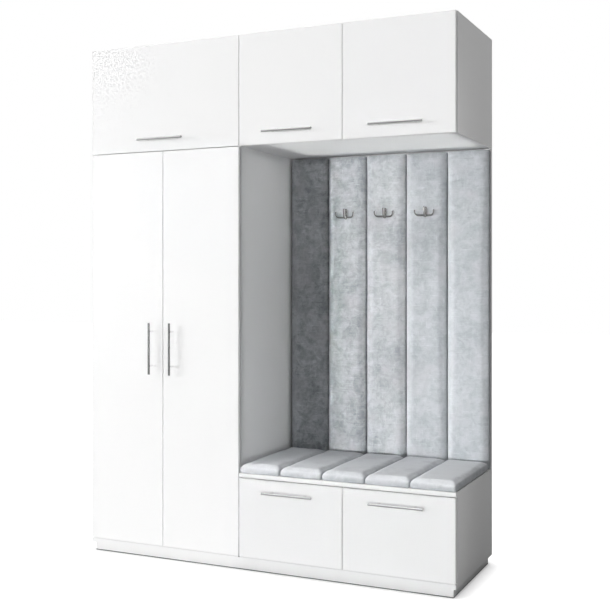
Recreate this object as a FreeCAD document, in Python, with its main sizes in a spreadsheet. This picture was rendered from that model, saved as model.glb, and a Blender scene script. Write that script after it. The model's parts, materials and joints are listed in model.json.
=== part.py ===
"""Hallway wardrobe: a two-door wardrobe, a padded bench niche, three top flaps and two bench drawers.

Frame: X to the right, Y to the back, Z up, millimetres. The origin is on the floor, below the centre
of the whole unit, with the handles counted in its depth.
"""
import FreeCAD
import Part
import Sketcher
import math
import os

V = FreeCAD.Vector
X_AXIS = V(1, 0, 0)
Y_AXIS = V(0, 1, 0)
Z_AXIS = V(0, 0, 1)

# Driving dimensions, in millimetres
DIMENSIONS = {
    # whole unit and its modules
    "overall_width": 1800,
    "overall_depth": 590,
    "overall_height": 2400,
    "left_width": 800,
    "narrow_width": 500,
    "box_level": 1900,
    "bench_level": 416,
    "plinth_height": 40,
    "plinth_inset": 15,
    # boards and the gaps round the fronts
    "board": 18,
    "sheet": 3,
    "front_board": 18,
    "front_gap": 3,
    "seam": 4,
    "end_gap": 2,
    "edge_radius": 1,
    "seam_level": 1898.5,
    # wardrobe inside
    "shelf_level": 1580,
    "shelf_setback": 12,
    "rail_level": 1525,
    "rail_radius": 12.5,
    "rail_wall": 1.2,
    "socket_wall": 3,
    "socket_depth": 14,
    "socket_play": 0.1,
    # wall fixing rails
    "fixing_height": 80,
    "fixing_spacing": 320,
    "fixing_hole_radius": 4,
    # bar handles
    "handle_reach": 40,
    "bar_length": 240,
    "bar_radius": 5,
    "post_spacing": 160,
    "post_radius": 4,
    "bar_chamfer": 0.6,
    "door_handle_level": 980,
    "door_handle_inset": 53,
    "flap_handle_inset": 54.5,
    "drawer_handle_inset": 52,
    # cup hinges
    "pin_inset": 8,
    "pin_depth": 8.5,
    "pin_radius": 1.5,
    "pin_play": 0.05,
    "pin_length": 21,
    "eye_radius": 2.8,
    "cup_radius": 17.5,
    "cup_wall": 1,
    "cup_floor": 0.8,
    "cup_depth": 13.3,
    "cup_inset": 3,
    "cup_play": 0.1,
    "flange_thick": 1,
    "flange_width": 16,
    "flange_length": 56,
    "arm_thick": 3,
    "arm_width": 8,
    "arm_offset": 11.5,
    "arm_length": 66,
    "plate_start": 26,
    "plate_length": 38,
    "plate_thick": 3.5,
    "plate_width": 16,
    "wing_length": 14,
    "wing_width": 46,
    "door_hinge_margin": 105,
    "flap_hinge_margin": 95,
    # gas struts of the flaps, seen from the hinge pin
    "strut_drop": 220,
    "strut_back": 190,
    "stud_drop": 66,
    "stud_back": 28,
    "strut_offset": 15,
    "tube_radius": 7.5,
    "tube_bore": 6.2,
    "tube_start": 4,
    "tube_end": 195,
    "bore_start": 22,
    "neck_length": 10,
    "rod_radius": 3,
    "rod_play": 0.05,
    "rod_inner_end": 32,
    "piston_radius": 6.1,
    "piston_length": 8,
    "strut_eye_radius": 8,
    "rod_eye_radius": 6,
    "strut_eye_width": 10,
    "strut_pin_radius": 3,
    "bracket_thick": 2,
    "bracket_height": 40,
    "bracket_width": 24,
    "lug_thick": 3,
    "lug_play": 0.4,
    # drawers
    "drawer_board": 15,
    "drawer_bottom": 4,
    "drawer_depth": 500,
    "drawer_height": 250,
    "drawer_lift": 24,
    "bottom_lift": 10,
    "runner_space": 12.7,
    "runner_height": 45,
    "runner_length": 450,
    "runner_wall": 1.2,
    "runner_lip": 9.5,
    "runner_gap": 3,
    # padded panels
    "pad_count": 5,
    "pad_play": 1,
    "seat_pad_length": 528,
    "seat_pad_side": 37,
    "back_pad_side": 35,
    "back_pad_length": 1460,
    "back_pad_lift": 1,
    "pad_crown": 5,
    "pad_corner": 20,
    "pad_base_corner": 4,
    # coat hooks
    "hook_level": 1616,
    "hook_plate_width": 16,
    "hook_plate_height": 50,
    "hook_plate_thick": 4,
    "hook_root": 16,
    "hook_run": 8,
    "hook_bend": 14,
    "hook_tip": 22,
    "hook_rod": 5,
    "prong_run": 30,
    "prong_bend": 18,
    "prong_tip": 3,
    "prong_rod": 4,
    "prong_angle": 72,
    "tip_radius": 5,
    "hook_clearance": 0.4,
    "screw_radius": 2,
    "screw_play": 0.1,
    "screw_head_radius": 4,
    "screw_head_thick": 2,
    "screw_length": 54,
    "screw_upper": 17,
    "screw_spacing": 16,
    "pad_hole_radius": 4,
}

doc = FreeCAD.newDocument("hallway_wardrobe")
sheet = doc.addObject("Spreadsheet::Sheet", "dims")
for row, (alias, number) in enumerate(DIMENSIONS.items(), start=1):
    sheet.set(f"A{row}", alias)
    sheet.set(f"B{row}", str(number))
    sheet.setAlias(f"B{row}", alias)
doc.recompute()

nodes = []

# Places worked out from the driving dimensions
LEFT = "(-dims.overall_width / 2)"
RIGHT = "(dims.overall_width / 2)"
MIDDLE = f"({LEFT} + dims.left_width)"
SPLIT = f"({MIDDLE} + dims.narrow_width)"
SEAT_LEFT = f"({MIDDLE} + dims.seam / 2)"
FRONT = "((dims.handle_reach - dims.overall_depth) / 2)"
BACK = "((dims.handle_reach + dims.overall_depth) / 2)"
CARCASS = f"({FRONT} + dims.front_board + dims.front_gap)"
SHEET_FACE = f"({BACK} - dims.sheet)"
BASE_TOP = "(dims.plinth_height + dims.board)"
BENCH_TOP = "(dims.bench_level + dims.board)"
TOP = "dims.overall_height"
NICHE_FACE = f"({BACK} - dims.board)"
FRONT_TOP = f"({TOP} - dims.end_gap)"
FLAP_BOTTOM = "(dims.seam_level + dims.seam / 2)"
DOOR_TOP = "(dims.seam_level - dims.seam / 2)"
FRONT_BOTTOM = f"({BASE_TOP} + dims.seam)"
DRAWER_TOP = "(dims.bench_level - dims.seam)"
PIN_PLANE = f"({FRONT} + dims.pin_depth)"
FLAP_PIN = f"({FRONT_TOP} - dims.pin_inset)"

# Left and right edge of each column of fronts
DOOR_SEAM = f"({LEFT} + dims.left_width / 2)"
LEFT_DOOR = (f"({LEFT} + dims.end_gap)", f"({DOOR_SEAM} - dims.seam / 2)")
RIGHT_DOOR = (f"({DOOR_SEAM} + dims.seam / 2)", f"({MIDDLE} - dims.seam / 2)")
LEFT_FLAP = (LEFT_DOOR[0], RIGHT_DOOR[1])
MIDDLE_FLAP = (SEAT_LEFT, f"({SPLIT} - dims.seam / 2)")
RIGHT_FLAP = (f"({SPLIT} + dims.seam / 2)", f"({RIGHT} - dims.end_gap)")

# Inner faces of the side boards beside each bay
LEFT_BAY = (f"({LEFT} + dims.board)", f"({MIDDLE} - dims.board)")
MIDDLE_BAY = (f"({MIDDLE} + dims.board)", f"({SPLIT} - dims.board / 2)")
RIGHT_BAY = (f"({SPLIT} + dims.board / 2)", f"({RIGHT} - dims.board)")


def value(text):
    """Number that an expression on the sheet stands for."""
    return float(sheet.evalExpression(str(text)))


def keep(piece, name):
    """Name a finished sub-part and list it for writing."""
    piece.Label = name
    nodes.append(piece)
    return piece


def place(piece, x, y, z):
    """Bind the place of a piece to the sheet."""
    for axis, text in zip("xyz", (x, y, z)):
        piece.setExpression(f"Placement.Base.{axis}", str(text))
    return piece


def turn(piece, axis, angle):
    """Turn a piece about one axis by an angle bound to the sheet."""
    piece.Placement.Rotation = FreeCAD.Rotation(axis, value(angle))
    piece.setExpression("Placement.Rotation.Angle", str(angle))
    return piece


def box(name, x, y, z):
    """Plain board: each direction is a start and an end."""
    made = doc.addObject("Part::Box", name)
    for size, (start, end) in zip(("Length", "Width", "Height"), (x, y, z)):
        made.setExpression(size, f"{end} - {start}")
    return place(made, x[0], y[0], z[0])


def rod(name, radius, length, axis=Z_AXIS, at=(0, 0, 0)):
    """Round bar along one axis, from its starting point."""
    made = doc.addObject("Part::Cylinder", name)
    made.setExpression("Radius", str(radius))
    made.setExpression("Height", str(length))
    made.Placement.Rotation = FreeCAD.Rotation(Z_AXIS, axis)
    return place(made, *at)


def join(name, members):
    """One solid made of several overlapping or touching ones."""
    made = doc.addObject("Part::MultiFuse", name)
    made.Shapes = members
    made.Refine = True
    return made


def cut(name, base, tool):
    """Base with the tool taken out of it."""
    made = doc.addObject("Part::Cut", name)
    made.Base = base
    made.Tool = tool
    return made


def group(name, members):
    """Several separate solids that share one node."""
    made = doc.addObject("Part::Compound", name)
    made.Links = members
    return made


def copy_of(master, name, at, axis=Y_AXIS, angle=0):
    """A repeat of a master piece at its own place."""
    made = doc.addObject("App::Link", name)
    made.LinkedObject = master
    turn(made, axis, angle)
    return place(made, *at)


def span(wall, side, near, far):
    """Start and end across X of something that stands off a wall towards one side."""
    if side > 0:
        return f"({wall} + {near})", f"({wall} + {far})"
    return f"({wall} - {far})", f"({wall} - {near})"


def new_sketch(body, name, role, offset="0", spin=0):
    """Sketch on one of the body's own origin planes, moved along its normal."""
    plane = next(item for item in body.Origin.OriginFeatures if item.Role == role)
    sketch = body.newObject("Sketcher::SketchObject", name)
    sketch.AttachmentSupport = [(plane, "")]
    sketch.MapMode = "FlatFace"
    if spin:
        sketch.AttachmentOffset = FreeCAD.Placement(V(0, 0, 0), FreeCAD.Rotation(Y_AXIS, spin))
    sketch.setExpression("AttachmentOffset.Base.z", str(offset))
    return sketch


def dimension(sketch, constraint, text):
    """Add a measured constraint and bind it to the sheet."""
    index = sketch.addConstraint(constraint)
    name = f"dimension_{index}"
    sketch.renameConstraint(index, name)
    sketch.setExpression(f"Constraints.{name}", str(text))


def pin_point(sketch, shape, point, x, y):
    """Hold a sketch point at a place measured from the sketch origin."""
    for kind, axis, text in (("DistanceX", -2, x), ("DistanceY", -1, y)):
        amount = value(text)
        if abs(amount) < 1e-9:
            sketch.addConstraint(Sketcher.Constraint("PointOnObject", shape, point, axis))
        elif amount > 0:
            dimension(sketch, Sketcher.Constraint(kind, -1, 1, shape, point, amount), text)
        else:
            dimension(sketch, Sketcher.Constraint(kind, shape, point, -1, 1, -amount), f"-({text})")


def rectangle(sketch, x, y, wide, tall):
    """Rectangle from its lower left corner."""
    x0, y0, w, h = (value(text) for text in (x, y, wide, tall))
    corners = [V(x0, y0, 0), V(x0 + w, y0, 0), V(x0 + w, y0 + h, 0), V(x0, y0 + h, 0)]
    first = sketch.GeometryCount
    for index in range(4):
        sketch.addGeometry(Part.LineSegment(corners[index], corners[(index + 1) % 4]))
    for index in range(4):
        following = first + (index + 1) % 4
        sketch.addConstraint(Sketcher.Constraint("Coincident", first + index, 2, following, 1))
        level = "Horizontal" if index % 2 == 0 else "Vertical"
        sketch.addConstraint(Sketcher.Constraint(level, first + index))
    pin_point(sketch, first, 1, x, y)
    dimension(sketch, Sketcher.Constraint("DistanceX", first, 1, first, 2, w), wide)
    dimension(sketch, Sketcher.Constraint("DistanceY", first + 1, 1, first + 1, 2, h), tall)


def circle(sketch, x, y, radius):
    """Circle round a point."""
    centre = V(value(x), value(y), 0)
    index = sketch.addGeometry(Part.Circle(centre, Z_AXIS, value(radius)))
    dimension(sketch, Sketcher.Constraint("Radius", index, value(radius)), radius)
    pin_point(sketch, index, 3, x, y)


def feature(body, kind, name, sketch, length, reverse=False, centred=False):
    """Pad or pocket of a sketch, with a check that it changed the solid."""
    before = body.Shape.Volume if body.Tip else 0
    made = body.newObject(f"PartDesign::{kind}", name)
    made.Profile = sketch
    made.setExpression("Length", str(length))
    made.Reversed = reverse
    made.Midplane = centred
    doc.recompute()
    if abs(body.Shape.Volume - before) < 1e-6:
        raise RuntimeError(f"{body.Name}: {name} changes nothing")
    return made


def fillet(body, name, base, chosen, radius):
    """Round the chosen edges of a feature."""
    made = body.newObject("PartDesign::Fillet", name)
    names = [f"Edge{index}" for index, edge in enumerate(base.Shape.Edges, start=1) if chosen(edge)]
    made.Base = (base, names)
    made.setExpression("Radius", str(radius))
    doc.recompute()
    return made


def make_carcass():
    """Plinth, boards and back sheets that carry everything else."""
    inset = "dims.plinth_inset"
    low = ("0", "dims.plinth_height")
    west = f"({LEFT} + {inset})"
    east = f"({RIGHT} - {inset})"
    near = f"({FRONT} + {inset})"
    far = f"({BACK} - {inset})"
    rails = [
        box("plinth_front", (west, east), (near, f"({near} + dims.board)"), low),
        box("plinth_rear", (west, east), (f"({far} - dims.board)", far), low),
    ]
    between = (f"({near} + dims.board)", f"({far} - dims.board)")
    for label, start in (
        ("plinth_left", west),
        ("plinth_middle", f"({MIDDLE} - dims.board / 2)"),
        ("plinth_split", f"({SPLIT} - dims.board / 2)"),
        ("plinth_right", f"({east} - dims.board)"),
    ):
        rails.append(box(label, (start, f"({start} + dims.board)"), between, low))
    keep(group("plinth_group", rails), "plinth_rails")

    keep(box("base", (LEFT, RIGHT), (FRONT, BACK), ("dims.plinth_height", BASE_TOP)), "base_board")

    deep = (CARCASS, SHEET_FACE)
    tall = (BASE_TOP, "dims.box_level")
    keep(box("side_left", (LEFT, LEFT_BAY[0]), deep, tall), "wardrobe_left_side")
    keep(box("side_right", (LEFT_BAY[1], MIDDLE), deep, tall), "wardrobe_right_side")
    under_top = "(dims.box_level - dims.board)"
    keep(box("ceiling", LEFT_BAY, deep, (under_top, "dims.box_level")), "wardrobe_top")
    shelf_deep = (f"({CARCASS} + dims.shelf_setback)", SHEET_FACE)
    shelf_high = ("dims.shelf_level", "(dims.shelf_level + dims.board)")
    keep(box("shelf", LEFT_BAY, shelf_deep, shelf_high), "hat_shelf")

    upper = ("dims.box_level", TOP)
    floor = ("dims.box_level", "(dims.box_level + dims.board)")
    roof = (f"({TOP} - dims.board)", TOP)
    left_box = [
        box("left_box_left", (LEFT, LEFT_BAY[0]), deep, upper),
        box("left_box_right", (LEFT_BAY[1], MIDDLE), deep, upper),
        box("left_box_floor", LEFT_BAY, deep, floor),
        box("left_box_roof", LEFT_BAY, deep, roof),
    ]
    keep(group("left_box_group", left_box), "left_cupboard_boards")
    inner = (MIDDLE_BAY[0], RIGHT_BAY[1])
    right_box = [
        box("right_box_left", (MIDDLE, MIDDLE_BAY[0]), deep, upper),
        box("right_box_right", (RIGHT_BAY[1], RIGHT), deep, upper),
        box("right_box_floor", inner, deep, floor),
        box("right_box_roof", inner, deep, roof),
        box("right_box_divider", (MIDDLE_BAY[1], RIGHT_BAY[0]), deep, (floor[1], roof[0])),
    ]
    keep(group("right_box_group", right_box), "right_cupboard_boards")

    bench_tall = (BASE_TOP, "dims.bench_level")
    bench = [
        box("bench_left", (MIDDLE, MIDDLE_BAY[0]), deep, bench_tall),
        box("bench_divider", (MIDDLE_BAY[1], RIGHT_BAY[0]), deep, bench_tall),
        box("bench_right", (RIGHT_BAY[1], RIGHT), deep, bench_tall),
    ]
    keep(group("bench_group", bench), "bench_uprights")
    keep(box("bench_board", (SEAT_LEFT, RIGHT), (FRONT, BACK), ("dims.bench_level", BENCH_TOP)), "bench_top")


def make_fixing_rails():
    """Rails under the cupboard roofs, drilled for screws into the wall, and the sheets behind them."""
    rails = []
    drills = []
    high = (f"({TOP} - dims.board - dims.fixing_height)", f"({TOP} - dims.board)")
    level = f"({TOP} - dims.board - dims.fixing_height / 2)"
    start = f"({SHEET_FACE} - dims.board)"
    through = "(dims.board + dims.sheet)"
    for label, bay in (("left", LEFT_BAY), ("middle", MIDDLE_BAY), ("right", RIGHT_BAY)):
        rail = box(f"rail_{label}", bay, (start, SHEET_FACE), high)
        centre = f"(({bay[0]} + {bay[1]}) / 2)"
        holes = []
        for side in ("-", "+"):
            at = (f"{centre} {side} dims.fixing_spacing / 2", start, level)
            holes.append(rod(f"drill_{label}", "dims.fixing_hole_radius", through, Y_AXIS, at))
        drills += holes
        rails.append(cut(f"rail_{label}_drilled", rail, group(f"drills_{label}", holes)))
    keep(group("fixing_group", rails), "wall_fixing_rails")

    thin = (SHEET_FACE, BACK)
    upper = ("dims.box_level", TOP)
    left_sheet = box("sheet_left_box", (LEFT, MIDDLE), thin, upper)
    right_sheet = box("sheet_right_box", (MIDDLE, RIGHT), thin, upper)
    sheets = [
        box("sheet_wardrobe", (LEFT, MIDDLE), thin, (BASE_TOP, "dims.box_level")),
        cut("sheet_left", left_sheet, group("bores_left", drills[:2])),
        cut("sheet_right", right_sheet, group("bores_right", drills[2:])),
        box("sheet_bench", (MIDDLE, RIGHT), thin, (BASE_TOP, "dims.bench_level")),
    ]
    keep(group("sheet_group", sheets), "back_sheets")


def make_clothes_rail():
    """Tube for hangers and the two sockets that hold its ends."""
    middle = f"(({CARCASS} + {SHEET_FACE}) / 2)"
    length = f"({LEFT_BAY[1]} - {LEFT_BAY[0]} - 2 * dims.socket_wall)"
    at = (f"({LEFT_BAY[0]} + dims.socket_wall)", middle, "dims.rail_level")
    outer = rod("rail_outer", "dims.rail_radius", length, X_AXIS, at)
    inner = rod("rail_inner", "dims.rail_radius - dims.rail_wall", length, X_AXIS, at)
    keep(cut("rail_tube", outer, inner), "clothes_rail")

    sockets = []
    for label, wall, side in (("left", LEFT_BAY[0], 1), ("right", LEFT_BAY[1], -1)):
        body = span(wall, side, "0", "dims.socket_depth")
        bore = span(wall, side, "dims.socket_wall", "dims.socket_depth")
        cup = rod(f"socket_{label}_cup", "dims.rail_radius + dims.socket_wall", "dims.socket_depth", X_AXIS,
                  (body[0], middle, "dims.rail_level"))
        hole = rod(f"socket_{label}_bore", "dims.rail_radius + dims.socket_play", f"{bore[1]} - {bore[0]}",
                   X_AXIS, (bore[0], middle, "dims.rail_level"))
        sockets.append(cut(f"socket_{label}", cup, hole))
    keep(group("socket_group", sockets), "rail_sockets")


def make_front(name, across, upright, cups=()):
    """Front panel with eased edges and a blind hole for each hinge cup, measured from its lower left."""
    body = doc.addObject("PartDesign::Body", f"{name}_body")
    outline = new_sketch(body, f"{name}_outline", "XZ_Plane")
    rectangle(outline, "0", "0", f"{across[1]} - {across[0]}", f"{upright[1]} - {upright[0]}")
    panel = feature(body, "Pad", f"{name}_panel", outline, "dims.front_board", reverse=True)
    fillet(body, f"{name}_edges", panel, lambda edge: True, "dims.edge_radius")
    if cups:
        holes = new_sketch(body, f"{name}_holes", "XZ_Plane", "-dims.front_board")
        for x, z in cups:
            circle(holes, x, z, "dims.cup_radius + dims.cup_play")
        feature(body, "Pocket", f"{name}_pockets", holes, "dims.cup_depth + dims.cup_play", reverse=True)
    place(body, across[0], FRONT, upright[0])
    return keep(body, name)


def make_handle(name, centre, level, upright):
    """Bar on two posts: three solids in one node."""
    axis = Z_AXIS if upright else X_AXIS
    bar_plane = f"({FRONT} - dims.handle_reach + dims.bar_radius)"
    half = "dims.bar_length / 2"
    start = (centre, bar_plane, f"{level} - {half}") if upright else (f"{centre} - {half}", bar_plane, level)
    bar = rod(f"{name}_rod", "dims.bar_radius", "dims.bar_length", axis, start)
    eased = doc.addObject("Part::Chamfer", f"{name}_bar")
    eased.Base = bar
    doc.recompute()
    size = value("dims.bar_chamfer")
    edges = enumerate(bar.Shape.Edges, start=1)
    eased.Edges = [(index, size, size) for index, edge in edges if isinstance(edge.Curve, Part.Circle)]
    solids = [eased]
    for side in ("-", "+"):
        step = f"{side} dims.post_spacing / 2"
        at = (centre, bar_plane, f"{level} {step}") if upright else (f"{centre} {step}", bar_plane, level)
        post = rod(f"{name}_post_rod", "dims.post_radius", f"{FRONT} - {bar_plane}", Y_AXIS, at)
        solids.append(cut(f"{name}_post", post, bar))
    return keep(group(f"{name}_group", solids), name)


def make_hinge_cup():
    """Master hinge cup with its flange and pin: the pin is on Z through the origin, the panel along X."""
    body = doc.addObject("PartDesign::Body", "hinge_cup")
    centre = "dims.cup_inset + dims.cup_radius - dims.pin_inset"
    mouth = "dims.front_board - dims.pin_depth"
    outer = new_sketch(body, "cup_outline", "XZ_Plane", f"-({mouth})")
    circle(outer, centre, "0", "dims.cup_radius")
    feature(body, "Pad", "cup_shell", outer, "dims.cup_depth")
    wings = new_sketch(body, "flange_outline", "XZ_Plane", f"-({mouth})")
    rectangle(wings, f"{centre} - dims.flange_width / 2", "-dims.flange_length / 2",
              "dims.flange_width", "dims.flange_length")
    feature(body, "Pad", "cup_flange", wings, "dims.flange_thick", reverse=True)
    inner = new_sketch(body, "cup_hollow", "XZ_Plane", f"-({mouth} + dims.flange_thick)")
    circle(inner, centre, "0", "dims.cup_radius - dims.cup_wall")
    hollow = "dims.flange_thick + dims.cup_depth - dims.cup_floor"
    feature(body, "Pocket", "cup_inside", inner, hollow, reverse=True)
    pin = new_sketch(body, "pin_outline", "XY_Plane")
    circle(pin, "0", "0", "dims.pin_radius")
    feature(body, "Pad", "cup_pin", pin, "dims.pin_length", centred=True)
    return body


def make_hinge_arm():
    """Master hinge arm: an eye round the pin, an elbow and a plate that is screwed to the carcass."""
    body = doc.addObject("PartDesign::Body", "hinge_arm")
    half = "dims.arm_thick / 2"
    elbow = new_sketch(body, "arm_elbow", "XY_Plane")
    rectangle(elbow, "0", f"-{half}", "dims.arm_offset + dims.arm_thick", "dims.arm_thick")
    feature(body, "Pad", "elbow", elbow, "dims.arm_width", centred=True)
    run = new_sketch(body, "arm_run", "XY_Plane")
    rectangle(run, "dims.arm_offset", f"-{half}", "dims.arm_thick", f"dims.arm_length + {half}")
    feature(body, "Pad", "run", run, "dims.arm_width", centred=True)
    eye = new_sketch(body, "arm_eye", "XY_Plane")
    circle(eye, "0", "0", "dims.eye_radius")
    feature(body, "Pad", "eye", eye, "dims.arm_width", centred=True)
    plate = new_sketch(body, "arm_plate", "XY_Plane")
    board_face = "dims.arm_offset - dims.plate_thick"
    rectangle(plate, board_face, "dims.plate_start", "dims.plate_thick", "dims.plate_length")
    feature(body, "Pad", "plate", plate, "dims.plate_width", centred=True)
    wing = new_sketch(body, "arm_wing", "XY_Plane")
    wing_start = "dims.plate_start + dims.plate_length / 2 - dims.wing_length / 2"
    rectangle(wing, board_face, wing_start, "dims.plate_thick / 2", "dims.wing_length")
    feature(body, "Pad", "wing", wing, "dims.wing_width", centred=True)
    bore = new_sketch(body, "arm_bore", "XY_Plane")
    circle(bore, "0", "0", "dims.pin_radius + dims.pin_play")
    feature(body, "Pocket", "eye_bore", bore, "2 * dims.arm_width", centred=True)
    return body


def hinge_places(start, end, margin, count):
    """Evenly spaced hinge places along one edge of a front."""
    return [f"({start} + {margin} + ({end} - {start} - 2 * {margin}) * {index} / {count - 1})"
            for index in range(count)]


def make_doors(cup, arm):
    """Two tall doors with handles, and hinges on their outer edges."""
    arms = []
    levels = hinge_places(FRONT_BOTTOM, DOOR_TOP, "dims.door_hinge_margin", 4)
    cup_inset = "dims.cup_inset + dims.cup_radius"
    for side, across, spin in (("left", LEFT_DOOR, 0), ("right", RIGHT_DOOR, 180)):
        wide = f"{across[1]} - {across[0]}"
        if side == "left":
            pin = f"({across[0]} + dims.pin_inset)"
            handle = f"({across[1]} - dims.door_handle_inset)"
            cup_x = cup_inset
        else:
            pin = f"({across[1]} - dims.pin_inset)"
            handle = f"({across[0]} + dims.door_handle_inset)"
            cup_x = f"{wide} - ({cup_inset})"
        cup_holes = [(cup_x, f"{level} - {FRONT_BOTTOM}") for level in levels]
        make_front(f"{side}_door", across, (FRONT_BOTTOM, DOOR_TOP), cup_holes)
        make_handle(f"{side}_door_handle", handle, "dims.door_handle_level", upright=True)
        cups = [copy_of(cup, f"{side}_door_cup", (pin, PIN_PLANE, level), angle=spin) for level in levels]
        keep(group(f"{side}_door_cup_group", cups), f"{side}_door_hinge_cups")
        arms += [copy_of(arm, f"{side}_door_arm", (pin, PIN_PLANE, level), angle=spin) for level in levels]
    keep(group("door_arm_group", arms), "door_hinge_arms")


def make_strut_tube():
    """Master strut tube along Z from its pivot eye: bore for the piston and a neck for the rod."""
    start = (0, 0, "dims.tube_start")
    body = rod("tube_outer", "dims.tube_radius", "dims.tube_end - dims.tube_start", Z_AXIS, start)
    eye_start = ("-dims.strut_eye_width / 2", 0, 0)
    eye = rod("tube_eye", "dims.strut_eye_radius", "dims.strut_eye_width", X_AXIS, eye_start)
    solid = join("tube_solid", [body, eye])
    bore_start = (0, 0, "dims.bore_start")
    to_mouth = "dims.tube_end - dims.bore_start"
    hollow = rod("tube_hollow", "dims.tube_bore", f"{to_mouth} - dims.neck_length", Z_AXIS, bore_start)
    neck = rod("tube_neck", "dims.rod_radius + dims.rod_play", to_mouth, Z_AXIS, bore_start)
    pivot_start = ("-dims.strut_eye_width", 0, 0)
    pivot_radius = "dims.strut_pin_radius + dims.rod_play"
    pivot = rod("tube_pivot", pivot_radius, "2 * dims.strut_eye_width", X_AXIS, pivot_start)
    return cut("strut_tube", solid, join("tube_inside", [hollow, neck, pivot]))


def make_strut_rod(closed):
    """Master strut rod along Z, drawn where it is when the flap is shut."""
    inner_end = (0, 0, "dims.rod_inner_end")
    stem = rod("rod_stem", "dims.rod_radius", f"{closed} - dims.rod_inner_end", Z_AXIS, inner_end)
    piston = rod("rod_piston", "dims.piston_radius", "dims.piston_length", Z_AXIS, inner_end)
    eye_start = ("-dims.strut_eye_width / 2", 0, closed)
    eye = rod("rod_eye", "dims.rod_eye_radius", "dims.strut_eye_width", X_AXIS, eye_start)
    return join("strut_rod", [stem, piston, eye])


def make_strut_bracket(name, wall, side, pivot_y, pivot_z):
    """Plate on a side board with the pin that the strut tube turns on."""
    plate = box(f"{name}_plate", span(wall, side, "0", "dims.bracket_thick"),
                (f"({pivot_y} - dims.bracket_width / 2)", f"({pivot_y} + dims.bracket_width / 2)"),
                (f"({pivot_z} - dims.bracket_height / 2)", f"({pivot_z} + dims.bracket_height / 2)"))
    reach = span(wall, side, "0", "(dims.strut_offset + dims.strut_eye_width / 2 + dims.bracket_thick)")
    pin_start = (reach[0], pivot_y, pivot_z)
    pin = rod(f"{name}_pin", "dims.strut_pin_radius", f"{reach[1]} - {reach[0]}", X_AXIS, pin_start)
    return join(name, [plate, pin])


def make_flap_bracket(name, wall, side, stud_y, stud_z):
    """Foot on the back of a flap with a lug beside the rod's eye, just clear of it."""
    back = f"({FRONT} + dims.front_board)"
    near = "(dims.strut_offset + dims.strut_eye_width / 2 + dims.lug_play)"
    low = f"({stud_z} - dims.bracket_width / 2)"
    high = f"({stud_z} + dims.bracket_width / 2)"
    foot = box(f"{name}_foot", span(wall, side, near, f"({near} + dims.bracket_width)"),
               (back, f"({back} + dims.bracket_thick)"), (low, high))
    lug = box(f"{name}_lug", span(wall, side, near, f"({near} + dims.lug_thick)"),
              (back, f"({stud_y} + dims.rod_eye_radius)"),
              (f"({stud_z} - dims.rod_eye_radius)", f"({stud_z} + dims.rod_eye_radius)"))
    return join(name, [foot, lug])


def make_flaps(cup, arm):
    """Three flaps hinged at the top, each held up by two gas struts."""
    closed = ("sqrt((dims.strut_drop - dims.stud_drop) ^ 2 + (dims.strut_back - dims.stud_back) ^ 2)")
    lean = "atan2(dims.strut_back - dims.stud_back; dims.strut_drop - dims.stud_drop)"
    pivot_y = f"({PIN_PLANE} + dims.strut_back)"
    pivot_z = f"({FLAP_PIN} - dims.strut_drop)"
    stud_y = f"({PIN_PLANE} + dims.stud_back)"
    stud_z = f"({FLAP_PIN} - dims.stud_drop)"
    tube = make_strut_tube()
    piston_rod = make_strut_rod(closed)
    arms = []
    brackets = []
    tall = f"{FRONT_TOP} - {FLAP_BOTTOM}"
    cup_level = f"{tall} - dims.cup_inset - dims.cup_radius"
    for side, across, bay, count in (
        ("left", LEFT_FLAP, LEFT_BAY, 3),
        ("middle", MIDDLE_FLAP, MIDDLE_BAY, 2),
        ("right", RIGHT_FLAP, RIGHT_BAY, 2),
    ):
        name = f"{side}_flap"
        places = hinge_places(across[0], across[1], "dims.flap_hinge_margin", count)
        cup_holes = [(f"{x} - {across[0]}", cup_level) for x in places]
        make_front(name, across, (FLAP_BOTTOM, FRONT_TOP), cup_holes)
        centre = f"(({across[0]} + {across[1]}) / 2)"
        make_handle(f"{name}_handle", centre, f"({FLAP_BOTTOM} + dims.flap_handle_inset)", upright=False)
        fittings = [copy_of(cup, f"{name}_cup", (x, PIN_PLANE, FLAP_PIN), angle=90) for x in places]
        arms += [copy_of(arm, f"{name}_arm", (x, PIN_PLANE, FLAP_PIN), angle=90) for x in places]
        tubes = []
        rods = []
        for end, wall, towards in (("left", bay[0], 1), ("right", bay[1], -1)):
            mark = f"{name}_{end}"
            axis_x = span(wall, towards, "dims.strut_offset", "dims.strut_offset")[0]
            at = (axis_x, pivot_y, pivot_z)
            tubes.append(copy_of(tube, f"{mark}_tube", at, X_AXIS, lean))
            rods.append(copy_of(piston_rod, f"{mark}_rod", at, X_AXIS, lean))
            brackets.append(make_strut_bracket(f"{mark}_bracket", wall, towards, pivot_y, pivot_z))
            fittings.append(make_flap_bracket(f"{mark}_foot", wall, towards, stud_y, stud_z))
        keep(group(f"{name}_fitting_group", fittings), f"{name}_hinge_cups_and_lugs")
        keep(group(f"{name}_tube_group", tubes), f"{name}_strut_tubes")
        keep(group(f"{name}_rod_group", rods), f"{name}_strut_rods")
    keep(group("flap_arm_group", arms), "flap_hinge_arms")
    keep(group("strut_bracket_group", brackets), "strut_brackets")


def channel(name, web, lips, along, low, high):
    """Runner rail: an upright web with a lip along its top and its bottom edge."""
    parts = [
        box(f"{name}_web", web, along, (low, high)),
        box(f"{name}_low_lip", lips, along, (low, f"({low} + dims.runner_wall)")),
        box(f"{name}_high_lip", lips, along, (f"({high} - dims.runner_wall)", high)),
    ]
    return join(name, parts)


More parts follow.
